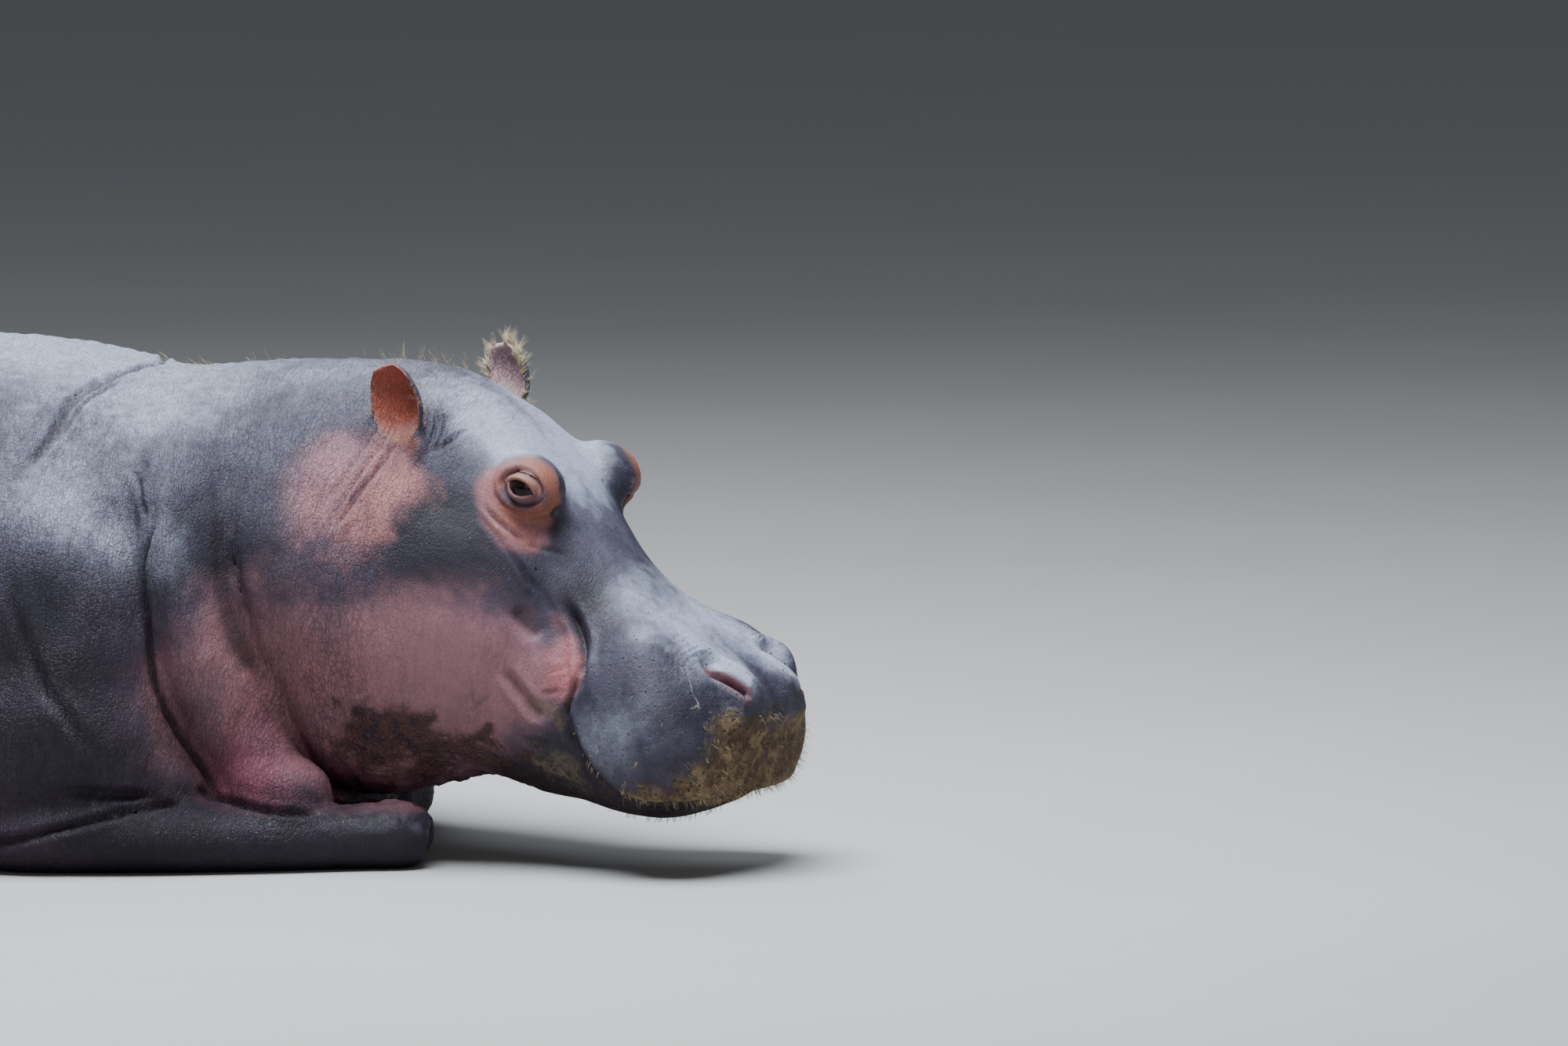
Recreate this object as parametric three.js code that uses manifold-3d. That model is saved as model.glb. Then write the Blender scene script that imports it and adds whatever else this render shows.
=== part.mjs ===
// Adult female hippopotamus resting on its belly, life size, in millimetres.
// +X is the way the trunk faces, +Y is the animal's left, and +Z is up. The floor is z = 0, and the
// origin lies on it under the middle of the belly. The head is turned to the animal's right and lowered.

import * as THREE from 'three';
import { LoftGeometry } from 'three/addons/geometries/LoftGeometry.js';
import { mergeVertices } from 'three/addons/utils/BufferGeometryUtils.js';
import Module from 'manifold-3d';

const wasm = await Module();
wasm.setup();

// ---------------------------------------------------------------- driving dimensions

const GAP = 0.4;            // clearance between pieces that touch
const FLOOR = 0;            // everything that rests is flat at this height
const BODY_SIDES = 28;      // points round the trunk, neck and head
const LIMB_SIDES = 10;      // points round a leg, foot or tail

const HEAD_ORIGIN = new THREE.Vector3(1130, -55, 562);   // on the head's own axis, below the nape
const HEAD_TURN = -15;      // degrees, to the animal's right
const HEAD_PITCH = 33;      // degrees, nose down

const EYE = { at: [240, 143, 148], radius: 25 };
const TURRET = { at: [232, 109, 138], halves: [58, 50, 54] };
const NOSTRIL = { at: [634, 78, 94], halves: [38, 7, 24], splay: 8, lean: 24 };
const EAR = { root: [66, 168, 100], tip: [-27, 176, 186], faces: [-0.3, 1, 0.1], width: 41, thickness: 10, cup: 24 };

// A body section is a superellipse. It has a top, a bottom and, between them at `mid`, its widest place,
// which reaches `wide` to each side. `crown` and `keel` say how square its upper and lower halves are
// (2 is an ellipse). `lean` slants the section, its foot forward of its top. Heights are from the floor
// in the trunk and from the head's own axis in the head.
const TRUNK_PIVOT = 360;    // the height at which a leaning section stays where it is
const TRUNK_STATIONS = [
  { at: -1045, top: 478, mid: 410, bottom: 335, wide: 62, crown: 2, keel: 2, lean: 0 },
  { at: -1025, top: 544, mid: 384, bottom: 205, wide: 180, crown: 1.95, keel: 2.1, lean: 0 },
  { at: -965, top: 622, mid: 356, bottom: 84, wide: 306, crown: 1.9, keel: 2.2, lean: 0 },
  { at: -860, top: 689, mid: 340, bottom: 8, wide: 392, crown: 1.9, keel: 2.4, lean: 0 },
  { at: -680, top: 743, mid: 335, bottom: -24, wide: 456, crown: 1.95, keel: 2.5, lean: 0 },
  { at: -350, top: 774, mid: 336, bottom: -45, wide: 506, crown: 2.05, keel: 2.6, lean: 0 },
  { at: 0, top: 773, mid: 330, bottom: -48, wide: 520, crown: 2.1, keel: 2.7, lean: 0 },
  { at: 300, top: 760, mid: 334, bottom: -40, wide: 508, crown: 2.1, keel: 2.6, lean: 0.02 },
  { at: 540, top: 741, mid: 342, bottom: -12, wide: 474, crown: 2.15, keel: 2.4, lean: 0.1 },
  { at: 700, top: 727, mid: 350, bottom: 30, wide: 440, crown: 2.2, keel: 2.3, lean: 0.16 },
  { at: 838, top: 699, mid: 352, bottom: 54, wide: 398, crown: 2.2, keel: 2.2, lean: 0.19 },
];

const HEAD_STATIONS = [
  { at: -190, top: 35, mid: -140, bottom: -414, wide: 280, crown: 2.2, keel: 2.2, lean: 1 },
  { at: -125, top: 66, mid: -138, bottom: -412, wide: 290, crown: 2.1, keel: 2.2, lean: 0.87 },
  { at: -50, top: 104, mid: -130, bottom: -402, wide: 288, crown: 2, keel: 2.2, lean: 0.74 },
  { at: 20, top: 143, mid: -120, bottom: -386, wide: 280, crown: 1.95, keel: 2.2, lean: 0.62 },
  { at: 95, top: 176, mid: -108, bottom: -370, wide: 270, crown: 1.95, keel: 2.2, lean: 0.5 },
  { at: 170, top: 185, mid: -96, bottom: -352, wide: 258, crown: 2, keel: 2.3, lean: 0.35 },
  { at: 240, top: 168, mid: -84, bottom: -332, wide: 240, crown: 2.05, keel: 2.3, lean: 0.21 },
  { at: 305, top: 145, mid: -74, bottom: -304, wide: 216, crown: 1.95, keel: 2.3, lean: 0.12 },
  { at: 370, top: 122, mid: -64, bottom: -267, wide: 190, crown: 1.85, keel: 2.4, lean: 0.08 },
  { at: 440, top: 107, mid: -56, bottom: -246, wide: 178, crown: 2, keel: 2.5, lean: 0.06 },
  { at: 510, top: 99, mid: -50, bottom: -220, wide: 188, crown: 2.5, keel: 2.5, lean: 0.08 },
  { at: 580, top: 93, mid: -46, bottom: -190, wide: 206, crown: 2.9, keel: 2.5, lean: 0.12 },
  { at: 640, top: 78, mid: -42, bottom: -154, wide: 206, crown: 2.8, keel: 2.4, lean: 0.16 },
  { at: 685, top: 50, mid: -40, bottom: -116, wide: 178, crown: 2.5, keel: 2.2, lean: 0.18 },
  { at: 708, top: 12, mid: -38, bottom: -80, wide: 126, crown: 2.2, keel: 2, lean: 0.18 },
  { at: 716, top: -10, mid: -36, bottom: -60, wide: 70, crown: 2, keel: 2, lean: 0.18 },
];

// ---------------------------------------------------------------- small helpers

const rad = THREE.MathUtils.degToRad;
const lerp = THREE.MathUtils.lerp;
const smooth = (x, from, to) => THREE.MathUtils.smoothstep(x, from, to);
const bell = (distance, reach) => Math.exp(-((distance / reach) ** 2));
const mirrored = ([x, y, z], side) => new THREE.Vector3(x, y * side, z);

// A station's value between its neighbours, on a smooth curve through them all.
function along(stations, at, key) {
  const last = stations.length - 1;
  let i = 0;
  while (i < last - 1 && at > stations[i + 1].at) i += 1;
  const value = (k) => stations[THREE.MathUtils.clamp(k, 0, last)][key];
  const place = (k) => stations[THREE.MathUtils.clamp(k, 0, last)].at;
  const slope = (k) => (value(k + 1) - value(k - 1)) / (place(k + 1) - place(k - 1));
  const span = place(i + 1) - place(i);
  const t = THREE.MathUtils.clamp((at - place(i)) / span, 0, 1);
  const t2 = t * t;
  const t3 = t2 * t;
  return (2 * t3 - 3 * t2 + 1) * value(i) + (t3 - 2 * t2 + t) * span * slope(i)
    + (3 * t2 - 2 * t3) * value(i + 1) + (t3 - t2) * span * slope(i + 1);
}

// A closed geometry as a manifold solid, with its shared vertices merged.
function solidOf(geometry) {
  const bare = new THREE.BufferGeometry();
  bare.setAttribute('position', geometry.attributes.position);
  bare.setIndex(geometry.index);
  const merged = mergeVertices(bare, 1e-3);
  const made = new wasm.Manifold(new wasm.Mesh({
    numProp: 3,
    vertProperties: merged.attributes.position.array,
    triVerts: new Uint32Array(merged.index.array),
  }));
  return made;
}

// A solid as a geometry for a mesh.
function geometryOf(solid) {
  const mesh = solid.getMesh();
  const positions = new Float32Array(mesh.numVert * 3);
  for (let i = 0; i < mesh.numVert; i += 1) {
    positions.set(mesh.vertProperties.subarray(i * mesh.numProp, i * mesh.numProp + 3), i * 3);
  }
  const geometry = new THREE.BufferGeometry();
  geometry.setAttribute('position', new THREE.BufferAttribute(positions, 3));
  geometry.setIndex(new THREE.BufferAttribute(mesh.triVerts, 1));
  geometry.computeVertexNormals();
  return geometry;
}

// A solid skinned over sections, with flat ends, and nothing of it below the floor.
function loft(sections) {
  for (const section of sections) {
    for (const point of section) point.z = Math.max(point.z, FLOOR);
  }
  return solidOf(new LoftGeometry(sections, { capStart: true, capEnd: true }));
}

// A ball stretched to three half-lengths, turned (in degrees about x, y and z, for the left side) and
// set at a place given for the left side.
function ballSolid(at, halves, side, { sides = 20, rows = 12, turns = [0, 0, 0], frame = new THREE.Matrix4() } = {}) {
  const ball = new THREE.SphereGeometry(1, sides, rows);
  ball.scale(...halves);
  ball.applyMatrix4(new THREE.Matrix4().makeRotationFromEuler(
    new THREE.Euler(rad(turns[0]) * side, rad(turns[1]), rad(turns[2]) * side, 'ZYX'),
  ));
  ball.translate(...mirrored(at, side).toArray());
  return solidOf(ball.applyMatrix4(frame));
}

const join = (solids) => solids.reduce((all, solid) => all.add(solid));
const cutBy = (solid, tools) => tools.reduce((left, tool) => left.subtract(tool), solid);

// Evenly spaced places from `from` to `to`, both included.
function spaced(from, to, steps) {
  return Array.from({ length: steps + 1 }, (_, i) => lerp(from, to, i / steps));
}

// ---------------------------------------------------------------- trunk, neck and head

// The head's own frame: x to the muzzle, y to the animal's left, z to its crown.
const headFrame = new THREE.Matrix4().makeRotationFromEuler(
  new THREE.Euler(0, rad(HEAD_PITCH), rad(HEAD_TURN), 'ZYX'),
).setPosition(HEAD_ORIGIN);
const inHead = (point) => point.clone().applyMatrix4(headFrame);

// Pushes a point by each swelling in reach, on both sides of the body.
function swell(point, swellings) {
  const side = Math.sign(point.y) || 1;
  const share = Math.min(1, Math.abs(point.y) / 30);
  for (const { at, push, reach } of swellings) {
    const near = bell(point.distanceTo(mirrored(at, side)), reach);
    point.add(new THREE.Vector3(push[0], push[1] * side * share, push[2]).multiplyScalar(near));
  }
  return point;
}

// One closed flat section, first point on top, then down the animal's right side.
function sectionOf(stations, swellings, at, pivot, grow) {
  const s = Object.fromEntries(Object.keys(stations[0]).map((key) => [key, along(stations, at, key)]));
  return Array.from({ length: BODY_SIDES }, (_, i) => {
    const turn = (i / BODY_SIDES) * 2 * Math.PI;
    const side = Math.sin(turn);
    const rise = Math.cos(turn);
    const power = 2 / (rise > 0 ? s.crown : s.keel);
    const height = grow + (rise > 0 ? s.top - s.mid : s.mid - s.bottom);
    const z = s.mid + Math.sign(rise) * Math.abs(rise) ** power * height;
    const y = -Math.sign(side) * Math.abs(side) ** power * (s.wide + grow);
    const point = swell(new THREE.Vector3(at - s.lean * (z - pivot), y, z), swellings);
    return point.setX(at - s.lean * (point.z - pivot));
  });
}

const TRUNK_SWELLINGS = [
  { at: [640, 440, 400], push: [0, 30, 0], reach: 170 },     // shoulder
  { at: [-640, 440, 380], push: [0, 34, 10], reach: 250 },   // haunch
  { at: [0, 520, 200], push: [0, 26, 0], reach: 330 },       // belly, spread by the floor
];

function trunkRing(at, grow = 0) {
  return sectionOf(TRUNK_STATIONS, TRUNK_SWELLINGS, at, TRUNK_PIVOT, grow);
}

function trunkSolid(grow = 0) {
  const front = TRUNK_STATIONS.at(-1).at;
  const places = [-1045, -1038, -1022, -990, -930, -850, ...spaced(-750, 690, 9), 765, front - GAP / 2];
  return loft(places.map((at) => trunkRing(at, grow)));
}

const HEAD_SWELLINGS = [
  { at: [215, 115, 160], push: [0, 4, 16], reach: 62 },       // brow
  { at: [612, 84, 80], push: [0, 4, 18], reach: 42 },         // nostril
  { at: [520, 150, 60], push: [0, 8, 14], reach: 46 },        // root of the canine
  { at: [30, 262, -160], push: [0, 22, 0], reach: 120 },      // cheek muscle
  { at: [395, 172, 10], push: [0, -16, 0], reach: 60 },       // hollow behind the lip
  { at: [225, 150, -360], push: [0, 16, -6], reach: 80 },     // jowl
];

function headRing(at, grow = 0) {
  return sectionOf(HEAD_STATIONS, HEAD_SWELLINGS, at, 0, grow);
}

// The head, or the same drawn in from the sides by `inset` where the lips hang over it.
function headSolid({ inset = 0, grow = 0 } = {}) {
  const places = [HEAD_STATIONS[0].at + GAP / 2, ...spaced(-148, 682, 19), 701, 711, 716];
  return loft(places.map((at) => headRing(at, grow).map((point) => {
    const drawn = inset * smooth(point.x, 330, 500);
    point.y -= Math.sign(point.y) * Math.min(Math.abs(point.y), drawn);
    return inHead(point);
  })));
}

// The neck runs from the trunk's last section to the head's first. Its skin lies in rolls: `low` is 0
// at the nape and 1 at the throat, and each fold has a place along the neck at both.
const NECK_FOLDS = [
  { nape: -0.05, throat: 0.02, rise: -16, reach: 0.16 },
  { nape: 0.4, throat: 0.56, rise: 72, reach: 0.34 },
  { nape: 1, throat: 1, rise: -20, reach: 0.14 },
];

function neckSolid(grow = 0) {
  const rear = TRUNK_STATIONS.at(-1);
  const front = HEAD_STATIONS[0];
  const first = trunkRing(rear.at, grow);
  const last = headRing(front.at, grow).map(inHead);
  const middle = (ring) => ring.reduce((sum, p) => sum.add(p), new THREE.Vector3()).divideScalar(ring.length);
  const square = new THREE.Vector3(1, 0, rear.lean).normalize();
  const squareAtHead = new THREE.Vector3(1, 0, front.lean).transformDirection(headFrame);
  const clear = grow > 0 ? -2 : GAP;
  const rows = spaced(0, 1, 9);
  return loft(rows.map((t, row) => {
    const centre = middle(first).lerp(middle(last), t);
    const normal = square.clone().lerp(squareAtHead, t).normalize();
    const edge = row === 0 ? clear : row === rows.length - 1 ? -clear : 0;
    const held = smooth(t, 0, 0.12) * (1 - smooth(t, 0.9, 1));
    return first.map((start, i) => {
      const point = start.clone().lerp(last[i], t);
      const low = (1 - Math.cos((i / BODY_SIDES) * 2 * Math.PI)) / 2;
      const outward = point.clone().sub(centre).projectOnPlane(normal).normalize();
      const fold = NECK_FOLDS.reduce((sum, { nape, throat, rise, reach }) => (
        sum + rise * bell(t - lerp(nape, throat, low), reach)), 0);
      point.addScaledVector(outward, fold * held * smooth(low, 0.06, 0.4));
      return point.addScaledVector(normal, edge);
    });
  }));
}

// The mouth line from its corner to the front of the lip, in the head's x and z.
const MOUTH_LINE = [[466, -14], [474, -44], [504, -83], [568, -114], [622, -119], [672, -106], [740, -56]];

// What lies below the mouth line, as a wide block across the head. `drop` lowers the line.
function belowMouth(drop) {
  const line = new THREE.Shape();
  const [first, ...rest] = MOUTH_LINE.map(([x, z]) => new THREE.Vector2(x, z - drop));
  line.moveTo(first.x, first.y);
  line.splineThru(rest);
  line.lineTo(900, -56 - drop);
  line.lineTo(900, -600);
  line.lineTo(280, -600);
  line.closePath();
  const block = new THREE.ExtrudeGeometry(line, { depth: 800, bevelEnabled: false, curveSegments: 3 });
  block.rotateX(Math.PI / 2);
  block.translate(0, 400, 0);
  return solidOf(block.applyMatrix4(headFrame));
}

const eyeSolid = (side, grow = 0) => (
  ballSolid(EYE.at, Array(3).fill(EYE.radius + grow), side, { sides: 11, rows: 7, frame: headFrame })
);
const turretSolid = (side) => (
  ballSolid(TURRET.at, TURRET.halves, side, { sides: 13, rows: 8, frame: headFrame })
);

// The slit of a nostril, which opens upwards and outwards.
const nostrilSlit = (side) => ballSolid(NOSTRIL.at, NOSTRIL.halves, side, {
  sides: 8, rows: 6, turns: [NOSTRIL.lean, 0, NOSTRIL.splay], frame: headFrame,
});

// An ear: a leaf on a short stalk, hollow on the side that it faces.
function earSolid(side) {
  const { width, thickness, cup } = EAR;
  const root = mirrored(EAR.root, side);
  const rise = mirrored(EAR.tip, side).sub(root);
  const length = rise.length();
  rise.normalize();
  const facing = mirrored(EAR.faces, side);
  facing.addScaledVector(rise, -facing.dot(rise)).normalize();
  const across = new THREE.Vector3().crossVectors(rise, facing);
  const placed = new THREE.Matrix4().makeBasis(facing, across, rise).setPosition(root).premultiply(headFrame);
  const half = LIMB_SIDES / 2;
  return loft([-0.3, 0, 0.16, 0.34, 0.55, 0.75, 0.9, 0.975, 1].map((t) => {
    const leaf = Math.sqrt(Math.max(0, 1 - (Math.abs(t - 0.56) / 0.46) ** 2.4));
    const broad = Math.max(lerp(25, 7, smooth(t, 0, 1)), width * leaf);
    const hollow = cup * smooth(t, 0.08, 0.4) * (1 - 0.7 * smooth(t, 0.7, 1));
    const thick = lerp(32, thickness, smooth(t, -0.1, 0.35)) / 2;
    const point = (share, face) => new THREE.Vector3(
      hollow * (share * share - 1) + face * thick * Math.sqrt(1 - 0.75 * share ** 4) + 6,
      share * broad,
      length * t,
    ).applyMatrix4(placed);
    const shares = spaced(-1, 1, half).map((u) => Math.sin((u * Math.PI) / 2));
    return [
      ...shares.map((share) => point(share, 1)),
      ...shares.reverse().map((share) => point(share, -1)),
    ];
  }));
}

// ---------------------------------------------------------------- legs and tail

// A limb along a smooth line through joints, each with its half-width and half-height. `level` is the
// direction that its width runs in at the start; from there it is carried along without twisting.
function limb(joints, rows, { sides = LIMB_SIDES, level = new THREE.Vector3(0, 1, 0) } = {}) {
  const line = new THREE.CatmullRomCurve3(joints.map(({ at }) => new THREE.Vector3(...at)), false, 'centripetal');
  const sizes = joints.map(({ half }, i) => ({ at: i / (joints.length - 1), wide: half[0], tall: half[1] }));
  const across = level.clone();
  return loft(spaced(0, 1, rows).map((t) => {
    const centre = line.getPoint(t);
    const tangent = line.getTangent(t);
    across.addScaledVector(tangent, -across.dot(tangent)).normalize();
    const over = new THREE.Vector3().crossVectors(tangent, across);
    return Array.from({ length: sides }, (_, i) => {
      const turn = (i / sides) * 2 * Math.PI;
      return centre.clone()
        .addScaledVector(across, -Math.sin(turn) * along(sizes, t, 'wide'))
        .addScaledVector(over, Math.cos(turn) * along(sizes, t, 'tall'));
    });
  }));
}

// Joints given for the animal's left side, moved to either side and shifted along.
function onSide(joints, side, shift = 0) {
  return joints.map(({ at: [x, y, z], half }) => ({ at: [x + shift, y * side, z], half }));
}

const UPPER_ARM = { at: [700, 378, 268], halves: [124, 98, 236], turns: [4, 17, 0] };
const THIGH = { at: [-640, 396, 285], halves: [255, 140, 200], turns: [6, 26, -6] };
const FOREARM = [
  { at: [580, 422, 56], half: [40, 44] },
  { at: [650, 424, 58], half: [72, 60] },
  { at: [790, 402, 54], half: [74, 56] },
  { at: [960, 350, 47], half: [66, 50] },
  { at: [1110, 292, 44], half: [58, 46] },
  { at: [1182, 268, 44], half: [54, 46] },
  { at: [1212, 258, 42], half: [34, 34] },
];
const FOREFOOT = [
  { at: [1185, 240, 40], half: [40, 40] },
  { at: [1130, 196, 38], half: [54, 40] },
  { at: [1050, 168, 38], half: [62, 40] },
  { at: [985, 156, 36], half: [66, 36] },
];
const SHANK = [
  { at: [-405, 440, 164], half: [58, 68] },
  { at: [-540, 448, 136], half: [70, 84] },
  { at: [-690, 456, 100], half: [62, 82] },
  { at: [-810, 455, 76], half: [50, 68] },
  { at: [-856, 454, 70], half: [30, 40] },
];
const HINDFOOT = [
  { at: [-830, 468, 52], half: [44, 50] },
  { at: [-740, 502, 50], half: [56, 50] },
  { at: [-630, 540, 46], half: [66, 46] },
  { at: [-560, 560, 42], half: [72, 40] },
];

const TOES = 4;
const TOE = { length: 66, pitch: 44, spread: 12 };

// Toes fan out from the end of a foot. Returns each toe's root, heading and share of the spread.
function toesOf(foot) {
  const end = new THREE.Vector3(...foot.at(-1).at);
  const before = new THREE.Vector3(...foot.at(-2).at);
  const heading = end.clone().sub(before).setZ(0).normalize();
  const across = new THREE.Vector3(-heading.y, heading.x, 0);
  return Array.from({ length: TOES }, (_, i) => {
    const share = i - (TOES - 1) / 2;
    const reach = 1 - 0.09 * share * share;
    const way = heading.clone().applyAxisAngle(new THREE.Vector3(0, 0, 1), rad(TOE.spread) * share);
    const root = end.clone().addScaledVector(across, share * TOE.pitch);
    return { root, way, reach };
  });
}

// A run of a toe: places along it as a share of its length, each with a height, half-width and half-height.
function toeRun({ root, way, reach }, places) {
  return limb(places.map(([share, height, wide, tall]) => ({
    at: root.clone().addScaledVector(way, TOE.length * reach * share).setZ(height).toArray(),
    half: [wide, tall],
  })), places.length - 1, { sides: 8, level: new THREE.Vector3(-way.y, way.x, 0) });
}

const toeSolid = (toe) => toeRun(toe, [[-0.8, 48, 20, 26], [0.12, 40, 26, 36], [0.62, 32, 25, 30]]);

// A toenail, blunt like a small hoof, carries on from the end of its toe and stays clear of the floor.
const nailSolid = (toe) => toeRun(toe, [[0.67, 32, 20, 27], [0.87, 28, 19, 22], [1.06, 22, 11, 12]]);

const footSolid = (foot) => join([limb(foot, 4), ...toesOf(foot).map(toeSolid)]);

const FORELEG_SHIFT = { 1: -128, '-1': 0 };   // the left foreleg is drawn further back under the chest

// The upper part of a limb, which swells out of the trunk.
function haunchSolid({ at: [x, y, z], halves, turns }, side, shift = 0) {
  return ballSolid([x + shift, y, z], halves, side, { sides: 12, rows: 8, turns });
}

function forelegSolid(side) {
  const shift = FORELEG_SHIFT[side];
  return join([
    haunchSolid(UPPER_ARM, side, shift * 0.5),
    limb(onSide(FOREARM, side, shift), 7),
    footSolid(onSide(FOREFOOT, side, shift)),
  ]).trimByPlane([0, 0, 1], FLOOR);
}

function hindlegSolid(side) {
  return join([
    haunchSolid(THIGH, side),
    limb(onSide(SHANK, side), 6),
    footSolid(onSide(HINDFOOT, side)),
  ]).trimByPlane([0, 0, 1], FLOOR);
}

const TAIL = [
  { at: [-985, 0, 545], half: [46, 40] },
  { at: [-1048, 0, 500], half: [38, 34] },
  { at: [-1074, 0, 410], half: [28, 24] },
  { at: [-1082, 0, 310], half: [22, 17] },
  { at: [-1086, 0, 220], half: [16, 11] },
  { at: [-1087, 0, 190], half: [8, 6] },
];
const tailSolid = () => limb(TAIL, 7, { sides: 8 });

// ---------------------------------------------------------------- materials and assembly

const skinGrey = new THREE.MeshStandardMaterial({ color: 0x6f7079, roughness: 0.62, metalness: 0 });
const skinPink = new THREE.MeshStandardMaterial({ color: 0xa9757a, roughness: 0.6, metalness: 0 });
const earPink = new THREE.MeshStandardMaterial({ color: 0xb5705f, roughness: 0.65, metalness: 0 });
const eyeDark = new THREE.MeshStandardMaterial({ color: 0x1c130f, roughness: 0.08, metalness: 0 });
const nailHorn = new THREE.MeshStandardMaterial({ color: 0x8a8274, roughness: 0.5, metalness: 0 });

const hippopotamus = new THREE.Group();

function add(name, solid, material) {
  const mesh = new THREE.Mesh(geometryOf(solid), material);
  mesh.name = name;
  hippopotamus.add(mesh);
}

const SIDES = [['right', -1], ['left', 1]];
const bothSides = (make, ...rest) => SIDES.map(([, side]) => make(side, ...rest));

const lips = headSolid();
const brows = bothSides(turretSolid);
const jaw = headSolid({ inset: 22 }).intersect(belowMouth(GAP));
const headTools = [belowMouth(0), ...bothSides(nostrilSlit), ...bothSides(eyeSolid, GAP)];

add('trunk', trunkSolid(), skinGrey);
add('neck', neckSolid(), skinGrey);
add('head', cutBy(join([lips, ...brows]), headTools), skinGrey);
add('lower_jaw', jaw, skinPink);

// What the body takes up, with clearance: limbs, ears and tail are cut back to it.
const body = [trunkSolid(GAP), neckSolid(GAP), headSolid({ grow: GAP })];

for (const [word, side] of SIDES) {
  add(`eye_${word}`, eyeSolid(side), eyeDark);
  add(`ear_${word}`, cutBy(earSolid(side), body), earPink);
}

function addLeg(name, solid, foot) {
  add(name, cutBy(solid, body), skinGrey);
  toesOf(foot).forEach((toe, i) => add(`${name}_nail_${i + 1}`, cutBy(nailSolid(toe), body), nailHorn));
}
for (const [word, side] of SIDES) {
  addLeg(`foreleg_${word}`, forelegSolid(side), onSide(FOREFOOT, side, FORELEG_SHIFT[side]));
  addLeg(`hindleg_${word}`, hindlegSolid(side), onSide(HINDFOOT, side));
}
add('tail', cutBy(tailSolid(), body), skinGrey);

export default hippopotamus;
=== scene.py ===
"""A hippopotamus resting on its belly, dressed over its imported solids.

One skin stands for every node of flesh. It is built from the same sections as the solids, joined by a fine
remesh, carved with the animal's folds, lids and wrinkles, and then thinned where it is plain. Eyes and nails
are pieces of their own, and so is each kind of hair. The model is in metres, and the tables of its shapes are
in millimetres. +X is the way the trunk faces, +Y the animal's left and +Z up; the head has a frame of its own.
"""

import logging
import math
from dataclasses import dataclass, field
from enum import Enum
from typing import Any, Callable, Iterator, Optional, Sequence

import bpy  # noqa: E402
import numpy as np  # noqa: E402
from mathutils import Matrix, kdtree  # noqa: E402

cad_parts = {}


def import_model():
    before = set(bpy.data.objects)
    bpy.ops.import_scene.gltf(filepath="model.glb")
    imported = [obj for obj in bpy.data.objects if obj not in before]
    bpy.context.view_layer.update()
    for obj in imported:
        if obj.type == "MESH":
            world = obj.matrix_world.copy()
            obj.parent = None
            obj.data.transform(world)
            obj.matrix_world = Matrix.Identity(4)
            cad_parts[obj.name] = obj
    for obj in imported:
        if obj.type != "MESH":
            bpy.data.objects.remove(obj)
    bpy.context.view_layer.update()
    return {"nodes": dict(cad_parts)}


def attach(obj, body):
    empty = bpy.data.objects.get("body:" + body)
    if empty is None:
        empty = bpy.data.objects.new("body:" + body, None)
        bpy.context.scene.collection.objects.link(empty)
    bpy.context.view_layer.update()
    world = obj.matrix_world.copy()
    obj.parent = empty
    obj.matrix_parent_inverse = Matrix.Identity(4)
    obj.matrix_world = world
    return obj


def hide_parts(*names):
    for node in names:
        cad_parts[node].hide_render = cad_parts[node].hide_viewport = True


Points = np.ndarray
Triple = tuple[float, float, float]

LOG = logging.getLogger("hippopotamus")
MM = 0.001
FULLY_DARK = 7      # a fold this many millimetres deep gets the full painted shade on its floor
MEAN_WAVE = 0.64    # the mean of a rectified wave, which keeps wrinkles level with the skin
FAINT = 0.2         # how far the left ear's pale hollow is pressed in, as a share of the right one's


# ---------- sides, curves and small helpers


class Side(Enum):
    """The animal's right and left, as the sign of Y."""

    RIGHT = -1
    LEFT = 1

    @property
    def word(self) -> str:
        """The side's name as the nodes have it."""
        return self.name.lower()


def smooth(x: Points, start: float, end: float) -> Points:
    """A smooth step from 0 at start to 1 at end."""
    t = np.clip((np.asarray(x, float) - start) / (end - start), 0.0, 1.0)
    return t * t * (3.0 - 2.0 * t)


def bell(distance: Points, reach: float) -> Points:
    """A bell that is 1 at no distance and falls off past its reach."""
    return np.exp(-((np.asarray(distance, float) / reach) ** 2))


def blob(points: Points, centre: Triple, halves: Triple) -> Points:
    """A bell with its own reach in each direction, round a place."""
    return bell(np.linalg.norm((points - centre) / halves, axis=1), 1.0)


def folded(points: Points) -> Points:
    """Places with the animal's right side turned over onto its left."""
    return np.column_stack([points[:, 0], np.abs(points[:, 1]), points[:, 2]])


def about(axis: int, degrees: float) -> Points:
    """A turn about one of the three axes, as a matrix."""
    angle = math.radians(degrees)
    i, j = (axis + 1) % 3, (axis + 2) % 3
    made = np.eye(3)
    made[i, i] = made[j, j] = math.cos(angle)
    made[i, j], made[j, i] = -math.sin(angle), math.sin(angle)
    return made


def unit(vectors: Points) -> Points:
    """Vectors at length one."""
    vectors = np.asarray(vectors, float)
    return vectors / np.maximum(np.linalg.norm(vectors, axis=-1, keepdims=True), 1e-12)


def mirrored(points: Sequence[Triple], side: Side) -> Points:
    """Places given for the left side, in millimetres, on either side, in metres."""
    return np.asarray(points, float) * (MM, MM * side.value, MM)


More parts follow.
